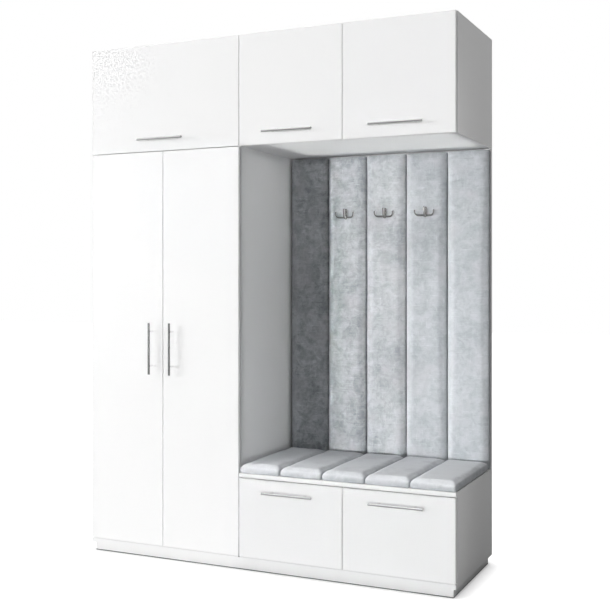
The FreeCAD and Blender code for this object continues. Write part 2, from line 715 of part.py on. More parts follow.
def make_drawers():
    """Two drawers on side-mounted runners."""
    rails = []
    behind_front = f"({FRONT} + dims.front_board)"
    low = f"({FRONT_BOTTOM} + dims.drawer_lift)"
    high = f"({low} + dims.drawer_height)"
    centre_z = f"({low} + dims.drawer_height / 2)"
    along = (f"({CARCASS} + dims.front_gap)", f"({CARCASS} + dims.front_gap + dims.runner_length)")
    rear = f"({behind_front} + dims.drawer_depth)"
    for side, across, bay in (("left", MIDDLE_FLAP, MIDDLE_BAY), ("right", RIGHT_FLAP, RIGHT_BAY)):
        name = f"{side}_drawer"
        make_front(f"{name}_front", across, (FRONT_BOTTOM, DRAWER_TOP))
        make_handle(f"{name}_handle", f"(({across[0]} + {across[1]}) / 2)",
                    f"({DRAWER_TOP} - dims.drawer_handle_inset)", upright=False)
        west = f"({bay[0]} + dims.runner_space)"
        east = f"({bay[1]} - dims.runner_space)"
        inner = (f"({west} + dims.drawer_board)", f"({east} - dims.drawer_board)")
        inner_deep = (f"({behind_front} + dims.drawer_board)", f"({rear} - dims.drawer_board)")
        bottom = f"({low} + dims.bottom_lift)"
        boards = [
            box(f"{name}_west", (west, inner[0]), (behind_front, rear), (low, high)),
            box(f"{name}_east", (inner[1], east), (behind_front, rear), (low, high)),
            box(f"{name}_inner_front", inner, (behind_front, inner_deep[0]), (low, high)),
            box(f"{name}_rear", inner, (inner_deep[1], rear), (low, high)),
            box(f"{name}_bottom", inner, inner_deep, (bottom, f"({bottom} + dims.drawer_bottom)")),
        ]
        keep(group(f"{name}_board_group", boards), f"{name}_box")
        slides = []
        outer_half = "dims.runner_height / 2"
        inner_half = "(dims.runner_height / 2 - dims.runner_wall - dims.runner_gap)"
        for end, wall, towards in (("left", bay[0], 1), ("right", bay[1], -1)):
            rails.append(channel(
                f"{name}_{end}_rail",
                span(wall, towards, "0", "dims.runner_wall"),
                span(wall, towards, "0", "dims.runner_lip"),
                along, f"({centre_z} - {outer_half})", f"({centre_z} + {outer_half})"))
            slides.append(channel(
                f"{name}_{end}_slide",
                span(wall, towards, "(dims.runner_space - dims.runner_wall)", "dims.runner_space"),
                span(wall, towards, "(dims.runner_space - dims.runner_lip)", "dims.runner_space"),
                along, f"({centre_z} - {inner_half})", f"({centre_z} + {inner_half})"))
        keep(group(f"{name}_slide_group", slides), f"{name}_slides")
    keep(group("runner_group", rails), "drawer_runners")


def make_pad(name, wide, side, length, holes=()):
    """Padded panel lying on XY: crowned across its width, rounded over the top, drawn in at its base."""
    body = doc.addObject("PartDesign::Body", f"{name}_body")
    profile = new_sketch(body, f"{name}_profile", "XZ_Plane")
    half = value(wide) / 2
    edge = value(side)
    top = edge + value("dims.pad_crown")
    low_left, low_right = V(-half, 0, 0), V(half, 0, 0)
    high_left, high_right = V(-half, edge, 0), V(half, edge, 0)
    profile.addGeometry(Part.LineSegment(low_left, low_right))
    profile.addGeometry(Part.LineSegment(low_right, high_right))
    profile.addGeometry(Part.Arc(high_right, V(0, top, 0), high_left))
    profile.addGeometry(Part.LineSegment(high_left, low_left))
    for constraint in (
        Sketcher.Constraint("Coincident", 0, 2, 1, 1),
        Sketcher.Constraint("Coincident", 1, 2, 2, 1),
        Sketcher.Constraint("Coincident", 2, 2, 3, 1),
        Sketcher.Constraint("Coincident", 3, 2, 0, 1),
        Sketcher.Constraint("Horizontal", 0),
        Sketcher.Constraint("Vertical", 1),
        Sketcher.Constraint("Vertical", 3),
        Sketcher.Constraint("Symmetric", 0, 1, 0, 2, -1, 1),
        Sketcher.Constraint("Equal", 1, 3),
    ):
        profile.addConstraint(constraint)
    dimension(profile, Sketcher.Constraint("DistanceX", 0, 1, 0, 2, 2 * half), wide)
    dimension(profile, Sketcher.Constraint("DistanceY", 1, 1, 1, 2, edge), side)
    crown_radius = f"(({wide}) ^ 2 / 4 + dims.pad_crown ^ 2) / (2 * dims.pad_crown)"
    dimension(profile, Sketcher.Constraint("Radius", 2, value(crown_radius)), crown_radius)
    solid = feature(body, "Pad", f"{name}_filling", profile, length, reverse=True)
    rounded = fillet(body, f"{name}_top_edges", solid,
                     lambda item: min(v.Z for v in item.Vertexes) > edge - 1e-3, "dims.pad_corner")
    fillet(body, f"{name}_base_edges", rounded,
           lambda item: max(v.Z for v in item.Vertexes) < 1e-3, "dims.pad_base_corner")
    if holes:
        bores = new_sketch(body, f"{name}_bores", "XY_Plane")
        for x, y in holes:
            circle(bores, x, y, "dims.pad_hole_radius")
        feature(body, "Pocket", f"{name}_holes", bores, "2 * dims.back_pad_side", reverse=True)
    return body


def hook_screw_levels():
    """Heights of the two screws of each coat hook."""
    upper = "(dims.hook_level + dims.screw_upper)"
    return [upper, f"({upper} - dims.screw_spacing)"]


def pad_centres():
    """Middle of each pad across the niche."""
    return [f"({SEAT_LEFT} + ({RIGHT} - {SEAT_LEFT}) / dims.pad_count * {index + 0.5})"
            for index in range(DIMENSIONS["pad_count"])]


def make_pads():
    """Five seat pads on the bench top and five back pads on the niche board."""
    wide = f"({RIGHT} - {SEAT_LEFT}) / dims.pad_count - dims.pad_play"
    foot = f"({BENCH_TOP} + dims.back_pad_lift)"
    for index, centre in enumerate(pad_centres()):
        seat = make_pad(f"seat_pad_{index + 1}", wide, "dims.seat_pad_side", "dims.seat_pad_length")
        keep(place(seat, centre, FRONT, BENCH_TOP), f"seat_pad_{index + 1}")
        holes = []
        if 0 < index < DIMENSIONS["pad_count"] - 1:
            holes = [("0", f"{level} - {foot}") for level in hook_screw_levels()]
        back = make_pad(f"back_pad_{index + 1}", wide, "dims.back_pad_side", "dims.back_pad_length", holes)
        turn(back, X_AXIS, 90)
        keep(place(back, centre, NICHE_FACE, foot), f"back_pad_{index + 1}")


def make_niche_board():
    """Back board of the niche, with pilot holes for the hook screws."""
    panel = box("niche_panel", (MIDDLE, RIGHT), (NICHE_FACE, BACK), (BENCH_TOP, "dims.box_level"))
    plate_back = f"({NICHE_FACE} - dims.back_pad_side - dims.pad_crown - dims.hook_clearance)"
    depth = f"dims.screw_length - dims.hook_plate_thick - ({NICHE_FACE} - {plate_back})"
    pilots = [rod("pilot_hole", "dims.screw_radius", depth, Y_AXIS, (centre, NICHE_FACE, level))
              for centre in pad_centres()[1:-1] for level in hook_screw_levels()]
    keep(cut("niche_drilled", panel, group("pilot_holes", pilots)), "niche_back_board")
    return plate_back


def hook_prong(body, name, run, bend, rise, radius, spin):
    """One round prong: out from the plate, round a quarter bend and up, in an upright plane."""
    path = new_sketch(body, f"{name}_path", "YZ_Plane", spin=spin)
    root = -value("dims.hook_root")
    out = -value(run)
    size = value(bend)
    top = value(rise)
    start, turn_start = V(0, root, 0), V(out, root, 0)
    turn_end = V(out - size, root + size, 0)
    corner = math.sqrt(0.5) * size
    on_bend = V(out - corner, root + size - corner, 0)
    path.addGeometry(Part.LineSegment(start, turn_start))
    path.addGeometry(Part.Arc(turn_start, on_bend, turn_end))
    path.addGeometry(Part.LineSegment(turn_end, turn_end + V(0, top, 0)))
    for constraint in (
        Sketcher.Constraint("Horizontal", 0),
        Sketcher.Constraint("Vertical", 2),
        Sketcher.Constraint("Tangent", 0, 2, 1, 2),
        Sketcher.Constraint("Tangent", 1, 1, 2, 1),
    ):
        path.addConstraint(constraint)
    pin_point(path, 0, 1, "0", "-dims.hook_root")
    dimension(path, Sketcher.Constraint("DistanceX", 0, 2, 0, 1, -out), run)
    dimension(path, Sketcher.Constraint("Radius", 1, size), bend)
    dimension(path, Sketcher.Constraint("DistanceY", 2, 1, 2, 2, top), rise)
    section = new_sketch(body, f"{name}_section", "XZ_Plane", spin=spin)
    circle(section, "0", "-dims.hook_root", radius)
    doc.recompute()
    pipe = body.newObject("PartDesign::AdditivePipe", f"{name}_pipe")
    pipe.Profile = section
    pipe.Spine = (path, ["Edge1", "Edge2", "Edge3"])
    doc.recompute()
    tip = body.newObject("PartDesign::AdditiveSphere", f"{name}_tip")
    tip.setExpression("Radius", "dims.tip_radius")
    reach = f"({run} + {bend})"
    away = FreeCAD.Rotation(Z_AXIS, spin).multVec(V(0, -1, 0))
    place(tip, f"{reach} * {away.x}", f"{reach} * {away.y}", f"{bend} + {rise} - dims.hook_root")
    doc.recompute()


def make_coat_hooks(plate_back):
    """Three cast hooks with a middle tongue and two side prongs, and their screws."""
    body = doc.addObject("PartDesign::Body", "coat_hook")
    plate = new_sketch(body, "hook_plate_outline", "XZ_Plane")
    rectangle(plate, "-dims.hook_plate_width / 2", "-dims.hook_plate_height / 2",
              "dims.hook_plate_width", "dims.hook_plate_height")
    slab = feature(body, "Pad", "hook_plate", plate, "dims.hook_plate_thick", reverse=True)
    rounded = "dims.hook_plate_width / 2 - dims.edge_radius"
    fillet(body, "hook_plate_corners", slab,
           lambda edge: abs(edge.Vertexes[0].Y - edge.Vertexes[-1].Y) > 1e-3, rounded)
    hook_prong(body, "tongue", "dims.hook_run", "dims.hook_bend", "dims.hook_tip", "dims.hook_rod", 0)
    for end, spin in (("left", -DIMENSIONS["prong_angle"]), ("right", DIMENSIONS["prong_angle"])):
        hook_prong(body, f"prong_{end}", "dims.prong_run", "dims.prong_bend", "dims.prong_tip",
                   "dims.prong_rod", spin)
    bores = new_sketch(body, "hook_bores", "XZ_Plane")
    circle(bores, "0", "dims.screw_upper", "dims.screw_radius + dims.screw_play")
    circle(bores, "0", "dims.screw_upper - dims.screw_spacing", "dims.screw_radius + dims.screw_play")
    feature(body, "Pocket", "hook_holes", bores, "3 * dims.hook_plate_thick", centred=True)

    shank = rod("screw_shank", "dims.screw_radius", "dims.screw_length", Y_AXIS)
    head_start = (0, "-dims.screw_head_thick", 0)
    head = rod("screw_head", "dims.screw_head_radius", "dims.screw_head_thick", Y_AXIS, head_start)
    screw = join("hook_screw", [shank, head])

    front = f"({plate_back} - dims.hook_plate_thick)"
    solids = []
    for centre in pad_centres()[1:-1]:
        solids.append(copy_of(body, "hook_copy", (centre, front, "dims.hook_level")))
        solids += [copy_of(screw, "screw_copy", (centre, front, level)) for level in hook_screw_levels()]
    keep(group("hook_group", solids), "coat_hooks")


def write_parts():
    """Check every object and write each sub-part to its own file."""
    doc.recompute()
    for item in doc.Objects:
        if "Invalid" in item.State or "Error" in item.State:
            raise RuntimeError(f"{item.Name} failed: {item.State}")
    os.makedirs("parts", exist_ok=True)
    for piece in nodes:
        shape = piece.Shape
        if shape.isNull() or not shape.isValid():
            raise RuntimeError(f"{piece.Label} has no valid shape")
        shape.exportStep(f"parts/{piece.Label}.step")
        print(f"{piece.Label}: {len(shape.Solids)} solids, {shape.Volume / 1000:.1f} cm3")
    print(f"{len(nodes)} sub-parts")


make_carcass()
make_fixing_rails()
make_clothes_rail()
hinge_cup = make_hinge_cup()
hinge_arm = make_hinge_arm()
make_doors(hinge_cup, hinge_arm)
make_flaps(hinge_cup, hinge_arm)
make_drawers()
make_pads()
make_coat_hooks(make_niche_board())
write_parts()
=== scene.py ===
"""Looks of the hallway wardrobe: finishes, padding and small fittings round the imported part.

Everything is in metres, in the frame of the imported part: X to the right, Y to the back, Z up.
"""

import json
import logging
import math
from dataclasses import dataclass, replace
from enum import Enum
from functools import lru_cache
from typing import Callable, Iterable, Mapping, Optional, Sequence, Union

import bmesh
import bpy
from mathutils import Matrix, Vector, noise

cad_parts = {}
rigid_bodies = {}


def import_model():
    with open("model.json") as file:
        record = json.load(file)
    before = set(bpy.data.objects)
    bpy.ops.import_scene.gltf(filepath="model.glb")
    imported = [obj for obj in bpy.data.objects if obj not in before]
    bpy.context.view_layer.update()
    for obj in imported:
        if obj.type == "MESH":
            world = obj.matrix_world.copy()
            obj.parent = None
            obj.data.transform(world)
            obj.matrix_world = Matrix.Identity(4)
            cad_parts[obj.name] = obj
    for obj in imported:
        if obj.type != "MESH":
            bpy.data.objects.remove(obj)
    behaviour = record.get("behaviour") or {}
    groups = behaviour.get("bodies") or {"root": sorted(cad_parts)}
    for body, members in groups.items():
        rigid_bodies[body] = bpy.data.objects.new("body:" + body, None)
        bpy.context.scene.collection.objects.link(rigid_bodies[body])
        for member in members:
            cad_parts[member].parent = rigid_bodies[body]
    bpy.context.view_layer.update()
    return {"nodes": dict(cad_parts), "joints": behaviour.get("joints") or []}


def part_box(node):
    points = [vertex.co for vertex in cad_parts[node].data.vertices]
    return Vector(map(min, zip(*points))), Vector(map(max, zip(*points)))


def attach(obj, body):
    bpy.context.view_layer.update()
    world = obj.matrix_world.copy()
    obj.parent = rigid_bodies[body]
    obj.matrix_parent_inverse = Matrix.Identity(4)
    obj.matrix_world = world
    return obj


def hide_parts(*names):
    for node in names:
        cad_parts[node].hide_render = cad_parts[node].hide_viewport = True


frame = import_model()

LOG = logging.getLogger("hallway_wardrobe")
MM = 0.001
HALF = 0.5
MERGE_DISTANCE = 1e-6
LEVEL_DISTANCE = 1e-5
BACKWARDS = (0, 1, 0)
Triple = tuple[float, float, float]
Colour = Triple
Value = Union["Wire", float, Sequence[float]]


@dataclass(frozen=True)
class Cloud:
    """A layer of noise: repeats per metre, finer layers, the share they keep, warp and stretch."""

    scale: float
    detail: float = 3.0
    keep: float = 0.5
    warp: float = 0.0
    stretch: Triple = (1.0, 1.0, 1.0)


@dataclass(frozen=True)
class Cut:
    """How noise becomes marks: where they begin, where they are full and how much they weigh."""

    begin: float
    full: float
    weight: float


class Wire:
    """A value on its way through a material's nodes; arithmetic on it adds Math nodes."""

    def __init__(self, recipe: "Recipe", socket: bpy.types.NodeSocket) -> None:
        """Keep the socket and the recipe that it belongs to."""
        self.recipe = recipe
        self.socket = socket

    def maths(self, operation: str, *values: Value) -> "Wire":
        """Math node of one operation on values in their order."""
        return self.recipe.node("ShaderNodeMath", {"operation": operation}, dict(enumerate(values)))

    def __add__(self, other: Value) -> "Wire":
        """This value plus another."""
        return self.maths("ADD", self, other)

    def __radd__(self, other: Value) -> "Wire":
        """Another value plus this one."""
        return self.maths("ADD", other, self)

    def __sub__(self, other: Value) -> "Wire":
        """This value less another."""
        return self.maths("SUBTRACT", self, other)

    def __rsub__(self, other: Value) -> "Wire":
        """Another value less this one."""
        return self.maths("SUBTRACT", other, self)

    def __mul__(self, other: Value) -> "Wire":
        """This value times another."""
        return self.maths("MULTIPLY", self, other)

    def __rmul__(self, other: Value) -> "Wire":
        """Another value times this one."""
        return self.maths("MULTIPLY", other, self)

    def or_more(self, other: Value) -> "Wire":
        """The larger of this value and another."""
        return self.maths("MAXIMUM", self, other)

    def step(self, low: float, high: float) -> "Wire":
        """Smooth rise from 0 at low to 1 at high."""
        return self.recipe.node("ShaderNodeMapRange", {"interpolation_type": "SMOOTHSTEP"},
                                {"Value": self, "From Min": low, "From Max": high})

    def cut(self, marks: Cut) -> "Wire":
        """Marks cut out of this noise, times their weight."""
        return self.step(marks.begin, marks.full) * marks.weight

    def swing(self, width: float) -> "Wire":
        """This noise about its middle, times a width."""
        return (self - HALF) * width

    def halfway(self, other: "Wire") -> "Wire":
        """The mean of this value and another."""
        return self * HALF + other * HALF


class Recipe:
    """The nodes of one material or of the world, added through a single method."""

    def __init__(self, owner: Union[bpy.types.Material, bpy.types.World]) -> None:
        """Start the owner's node tree afresh."""
        owner.use_nodes = True
        self.tree = owner.node_tree
        self.tree.nodes.clear()

    def node(self, kind: str, settings: Optional[Mapping[str, object]] = None,
             sockets: Optional[Mapping[Union[int, str], Value]] = None,
             out: Union[int, str] = 0) -> Wire:
        """Add one node.

        Args:
            kind: type of the node.
            settings: its own properties, set before anything is linked.
            sockets: values or wires for its inputs, by name or number.
            out: the output that is handed back.

        Returns:
            A wire from that output.
        """
        made = self.tree.nodes.new(kind)
        for key, setting in (settings or {}).items():
            setattr(made, key, setting)
        for key, given in (sockets or {}).items():
            if isinstance(given, Wire):
                self.tree.links.new(given.socket, made.inputs[key])
            else:
                made.inputs[key].default_value = given
        return Wire(self, made.outputs[out])

    def place(self, stretch: Triple = (1.0, 1.0, 1.0)) -> Wire:
        """Object coordinates, stretched along each axis."""
        here = self.node("ShaderNodeTexCoord", out="Object")
        return self.node("ShaderNodeMapping", {"vector_type": "POINT"},
                         {"Vector": here, "Scale": stretch})

    def facing(self, way: Triple) -> Wire:
        """How far the surface looks one way: 1 when straight along a way of length 1."""
        normal = self.node("ShaderNodeTexCoord", out="Normal")
        return self.node("ShaderNodeVectorMath", {"operation": "DOT_PRODUCT"},
                         {0: normal, 1: way}, out="Value")

    def cloud(self, layer: Cloud) -> Wire:
        """A layer of noise between 0 and 1."""
        return self.node("ShaderNodeTexNoise", {"noise_dimensions": "3D"},
                         {"Vector": self.place(layer.stretch), "Scale": layer.scale,
                          "Detail": layer.detail, "Roughness": layer.keep,
                          "Distortion": layer.warp}, out="Fac")

    def blend(self, share: Value, first: Value, second: Value) -> Wire:
        """Mix of two colours: the first at a share of 0, the second at 1."""
        return self.node("ShaderNodeMix", {"data_type": "RGBA", "clamp_factor": True},
                         {0: share, 6: first, 7: second}, out=2)

    def shade(self, share: Wire, colour: Colour, least: float) -> Wire:
        """A colour that is whole at a share of 1 and dimmed to its least part at 0."""
        return self.blend(share, full(part * least for part in colour), full(colour))

    def bump(self, height: Wire, depth: float, strength: float) -> Wire:
        """Normal of a fine relief.

        Args:
            height: wire of the relief, from 0 to 1.
            depth: metres between its lowest and highest point.
            strength: share of the effect.

        Returns:
            A wire for a Normal socket.
        """
        return self.node("ShaderNodeBump",
                         sockets={"Height": height, "Distance": depth, "Strength": strength})

    def surface(self, **sockets: Value) -> None:
        """Close the recipe with one Principled shader, its sockets named with _ for each space."""
        named = {key.replace("_", " "): given for key, given in sockets.items()}
        self.node_output(self.node("ShaderNodeBsdfPrincipled", sockets=named))

    def node_output(self, shader: Wire, kind: str = "ShaderNodeOutputMaterial") -> None:
        """Link a shader to the tree's output."""
        self.tree.links.new(shader.socket, self.tree.nodes.new(kind).inputs["Surface"])


def full(colour: Iterable[float]) -> tuple[float, ...]:
    """A colour with its alpha of 1."""
    return (*colour, 1.0)


@dataclass(frozen=True)
class Finish:
    """A surface finish: the name of its material and the record's slot that it stands for."""

    name: str
    slot: str

    def mix(self, recipe: Recipe) -> None:
        """Add the finish's nodes to a recipe."""
        raise NotImplementedError


@lru_cache(maxsize=None)
def material_of(finish: Finish) -> bpy.types.Material:
    """The material of a finish, made once."""
    made = bpy.data.materials.new(finish.name)
    finish.mix(Recipe(made))
    return made


@dataclass(frozen=True)
class Laminate(Finish):
    """White pressed film on chipboard, with a fine pebble and an even satin gloss."""

    colour: Colour
    roughness: float
    pebble: Cloud
    relief: float
    coat: float
    shine: float = 0.3
    drift: Cloud = Cloud(2.3, 2.0)
    least: float = 0.975
    pebble_gloss: float = 0.1
    drift_gloss: float = 0.05
    coat_roughness: float = 0.25
    bump_share: float = 0.5

    def mix(self, recipe: Recipe) -> None:
        """Faint drift of tone, pebbled relief and a gloss that follows it."""
        drift, pebbles = recipe.cloud(self.drift), recipe.cloud(self.pebble)
        gloss = self.roughness + pebbles.swing(self.pebble_gloss) + drift.swing(self.drift_gloss)
        recipe.surface(Base_Color=recipe.shade(drift, self.colour, self.least), Roughness=gloss,
                       Coat_Weight=self.coat, Coat_Roughness=self.coat_roughness,
                       Specular_IOR_Level=self.shine,
                       Normal=recipe.bump(pebbles, self.relief, self.bump_share))


@dataclass(frozen=True)
class Hardboard(Finish):
    """Thin back sheet: white paint rolled over pressed fibre."""

    colour: Colour = (0.82, 0.825, 0.83)
    fibres: Cloud = Cloud(1.0, 5.0, 0.6, 0.6, (300.0, 300.0, 120.0))
    blotches: Cloud = Cloud(9.0)
    least: float = 0.9
    roughness: float = 0.5
    fibre_gloss: float = 0.25
    relief: float = 0.12 * MM
    bump_share: float = 0.6

    def mix(self, recipe: Recipe) -> None:
        """Fibres that show through the paint, and a dull broken gloss."""
        fibres, blotches = recipe.cloud(self.fibres), recipe.cloud(self.blotches)
        recipe.surface(Base_Color=recipe.shade(fibres.halfway(blotches), self.colour, self.least),
                       Roughness=self.roughness + fibres * self.fibre_gloss,
                       Normal=recipe.bump(fibres, self.relief, self.bump_share))


@dataclass(frozen=True)
class Velvet(Finish):
    """Short velvet with a crushed pile: soft clouds, short strokes both ways, a pale sheen, and
    painted light and shade by the way each face looks.
    """

    dark: Colour = (0.231, 0.249, 0.267)
    light: Colour = (0.634, 0.656, 0.679)
    blush: Colour = (0.49, 0.49, 0.515)
    # painted light and shade: faces that look along lay are painted paler, faces that look away
    # painted darker, no darker than the field below
    lay: Triple = (-0.5, 0.0, 0.0)
    painted_shade_least: float = -0.05
    contrast: float = 0.78
    clouds: Cloud = Cloud(5.0, 3.0, 0.55, 0.3)
    cloud_weight: float = 0.9
    patches: Cloud = Cloud(19.0, 6.0, 0.62, 0.8)
    patch_marks: Cut = Cut(0.38, 0.62, 0.3)
    flecks: Cloud = Cloud(60.0, 4.0, 0.6, 0.5)
    fleck_marks: Cut = Cut(0.4, 0.6, 0.16)
    across: Cloud = Cloud(1.0, 5.0, 0.7, stretch=(15.0, 30.0, 150.0))
    pale_across: Cut = Cut(0.58, 0.65, 0.6)
    dark_across: Cut = Cut(0.59, 0.66, 0.5)
    down: Cloud = Cloud(1.0, 5.0, 0.7, stretch=(170.0, 50.0, 15.0))
    pale_down: Cut = Cut(0.59, 0.66, 0.5)
    stroke_weight: float = 0.42
    nap: Cloud = Cloud(1400.0, 2.0, 0.6)
    nap_weight: float = 0.1
    mean: float = 0.75
    warmth: Cloud = Cloud(9.0, 2.0)
    warm_marks: Cut = Cut(0.48, 0.7, 0.4)
    roughness: float = 0.92
    stroke_gloss: float = 0.14
    shine: float = 0.2
    sheen: float = 0.4
    sheen_roughness: float = 0.36
    sheen_tint: Colour = (0.92, 0.95, 1.0)
    patch_relief: float = 0.8
    relief: float = 0.5 * MM
    bump_share: float = 0.55

    def mix(self, recipe: Recipe) -> None:
        """Brushed pile in layers that share one tone, painted paler or darker by the way a face
        looks as painted light and shade, and a fine nap.
        """
        patches, across, nap = (recipe.cloud(layer)
                                for layer in (self.patches, self.across, self.nap))
        strokes = (across.cut(self.pale_across) + recipe.cloud(self.down).cut(self.pale_down)
                   - (1 - across).cut(self.dark_across))
        brushed = (patches.cut(self.patch_marks) + recipe.cloud(self.flecks).cut(self.fleck_marks)
                   + strokes * self.stroke_weight)
        pile = (recipe.cloud(self.clouds) * self.cloud_weight + brushed + nap * self.nap_weight
                - self.mean) * self.contrast
        # painted light and shade: the tone is raised on faces that look along lay and lowered on
        # faces that look away
        light_by_way = recipe.facing(self.lay).or_more(self.painted_shade_least)
        tint = recipe.blend(pile + light_by_way + HALF, full(self.dark), full(self.light))
        warm = recipe.cloud(self.warmth).cut(self.warm_marks)
        recipe.surface(Base_Color=recipe.blend(warm, tint, full(self.blush)),
                       Roughness=self.roughness - strokes * self.stroke_gloss,
                       Specular_IOR_Level=self.shine, Sheen_Weight=self.sheen,
                       Sheen_Roughness=self.sheen_roughness, Sheen_Tint=full(self.sheen_tint),
                       Normal=recipe.bump(nap + patches * self.patch_relief, self.relief,
                                          self.bump_share))


class Grain(Enum):
    """Way that the brush went over a metal, as its layer of fine lines."""

    ALONG_X = Cloud(1.0, 3.0, 0.6, stretch=(30.0, 4200.0, 4200.0))
    UPRIGHT = Cloud(1.0, 3.0, 0.6, stretch=(4200.0, 4200.0, 30.0))
    NONE = Cloud(1.0, 3.0, 0.6, stretch=(900.0, 900.0, 900.0))


@dataclass(frozen=True)
class Metal(Finish):
    """Bare, plated or brushed metal."""

    colour: Colour
    roughness: float
    grain: Grain
    relief: float = 0.015 * MM
    tarnish: float = 0.12
    line_gloss: float = 0.16
    drift: Cloud = Cloud(60.0)
    drift_gloss: float = 0.08
    bump_share: float = 0.5

    def mix(self, recipe: Recipe) -> None:
        """Brush lines or a fine cast skin, with tone and gloss that drift a little."""
        lines, drift = recipe.cloud(self.grain.value), recipe.cloud(self.drift)
        gloss = self.roughness + lines.swing(self.line_gloss) + drift.swing(self.drift_gloss)
        recipe.surface(Base_Color=recipe.shade(lines.halfway(drift), self.colour, 1 - self.tarnish),
                       Metallic=1.0, Roughness=gloss,
                       Normal=recipe.bump(lines, self.relief, self.bump_share))


@dataclass(frozen=True)
class PaintedHighlightMetal(Metal):
    """Metal with a painted highlight: its faces that look one way are painted bright."""

    # painted highlight: colour and roughness of the faces that look the highlight way
    bright: Colour = (0.86, 0.86, 0.86)
    bright_roughness: float = 0.2
    highlight_way: Triple = (0.0, 0.0, 1.0)
    highlight_from: tuple[float, float] = (0.5, 0.9)

    def bright_share(self, recipe: Recipe) -> Wire:
        """1 where the metal is bright, 0 where it is dull."""
        return recipe.facing(self.highlight_way).step(*self.highlight_from)

    def mix(self, recipe: Recipe) -> None:
        """Brush lines on the dull faces, and a painted highlight of brighter, smoother metal on the
        faces that look the highlight way.
        """
        lines = recipe.cloud(self.grain.value)
        bright = self.bright_share(recipe)
        dull = recipe.shade(lines, self.colour, 1 - self.tarnish)
        gloss = self.roughness + lines.swing(self.line_gloss)
        recipe.surface(Base_Color=recipe.blend(bright, dull, full(self.bright)), Metallic=1.0,
                       Roughness=gloss + bright * (self.bright_roughness - self.roughness),
                       Normal=recipe.bump(lines, self.relief, self.bump_share))


@dataclass(frozen=True)
class BarHandle(PaintedHighlightMetal):
    """Satin bar with a painted highlight on its top face, on two polished posts that start at the
    bar's back.
    """

    bar_back: tuple[float, float] = (-306 * MM, -304 * MM)
    # share of the painted highlight on the bar's top face
    top_highlight_share: float = 0.6

    def bright_share(self, recipe: Recipe) -> Wire:
        """1 from the bar's back on, a painted highlight share on its top face, 0 on the rest of the
        bar.
        """
        depth = recipe.node("ShaderNodeSeparateXYZ", sockets={"Vector": recipe.place()}, out="Y")
        return (super().bright_share(recipe) * self.top_highlight_share).or_more(depth.step(*self.bar_back))


@dataclass(frozen=True)
class Paint(Finish):
    """Sprayed paint or moulded plastic, with a fine orange skin."""

    colour: Colour
    roughness: float
    coat: float
    skin: Cloud = Cloud(420.0, 2.0)
    least: float = 0.88
    skin_gloss: float = 0.12
    coat_roughness: float = 0.15
    relief: float = 0.03 * MM
    bump_share: float = 0.5

    def mix(self, recipe: Recipe) -> None:
        """Orange skin as relief, with a gloss that follows it."""
        skin = recipe.cloud(self.skin)
        recipe.surface(Base_Color=recipe.shade(skin, self.colour, self.least),
                       Roughness=self.roughness + skin.swing(self.skin_gloss),
                       Coat_Weight=self.coat, Coat_Roughness=self.coat_roughness,
                       Normal=recipe.bump(skin, self.relief, self.bump_share))


FRONT_FILM = Laminate("front_film", "front_white", (0.91, 0.91, 0.91), 0.45,
                      Cloud(520.0, 2.0, 0.55), 0.03 * MM, 0.08)
BOARD_FILM = Laminate("board_film", "board_white", (0.88, 0.88, 0.88), 0.42,
                      Cloud(800.0, 2.0, 0.55), 0.05 * MM, 0.05)
BACK_SHEET = Hardboard("back_sheet_paint", "hardboard")
BACK_VELVET = Velvet("back_velvet", "velvet")
# painted light: the seat's copy of the velvet is paler than the back's, and its lay paints tops and
# left-turned faces paler, fronts and right-turned faces darker
SEAT_VELVET_PAINTED_LIGHT = Velvet("seat_velvet_painted_light", "velvet", (0.275, 0.292, 0.308), (0.77, 0.788, 0.808),
                     (0.58, 0.582, 0.61), (-0.5, 0.2, 0.52), -0.22, 0.36)
BAR_STEEL = BarHandle("bar_steel_level", "satin_steel", (0.42, 0.42, 0.42), 0.36, Grain.ALONG_X)
# painted shade: the door bars' copy of the satin steel is far darker than the level bars' copy
UPRIGHT_BAR_STEEL_PAINTED_SHADE = BarHandle("bar_steel_upright_painted_shade", "satin_steel", (0.13, 0.13, 0.13), 0.36,
                              Grain.UPRIGHT)
# painted highlight and shade: hook faces that look to +X are painted bright, the rest painted dark
HOOK_NICKEL = PaintedHighlightMetal("hook_nickel", "nickel", (0.2, 0.198, 0.195), 0.45, Grain.NONE, 0.02 * MM,
                          bright=(0.75, 0.745, 0.74), bright_roughness=0.45, highlight_way=(1.0, 0.0, 0.0),
                          highlight_from=(0.3, 0.9))
RAIL_CHROME = Metal("rail_chrome", "chrome", (0.72, 0.73, 0.75), 0.1, Grain.ALONG_X, 0.004 * MM,
                    0.05)
ROD_CHROME = Metal("rod_chrome", "chrome", (0.7, 0.71, 0.73), 0.12, Grain.NONE, 0.004 * MM, 0.05)
ZINC = Metal("zinc_plate", "zinc_steel", (0.6, 0.61, 0.62), 0.34, Grain.NONE, 0.02 * MM, 0.2)
STRUT_PAINT = Paint("strut_paint", "dark_paint", (0.09, 0.092, 0.096), 0.32, 0.2)
SEAL_WHITE = Paint("seal_white", "board_white", (0.88, 0.88, 0.88), 0.45, 0.0)
# painted shadow: dark grey of the lip round the plinth's foot, which stands in for the contact
# shadow
CONTACT_SHADOW_GREY = Paint("contact_shadow_grey", "dark_paint", (0.1, 0.1, 0.1), 0.5, 0.0)
BUMPER_GEL = Paint("bumper_gel", "hardboard", (0.78, 0.8, 0.82), 0.2, 0.5)


def each(names: Iterable[str], ending: str) -> tuple[str, ...]:
    """The names of like nodes: every given name with the same ending."""
    return tuple(f"{name}_{ending}" for name in names)


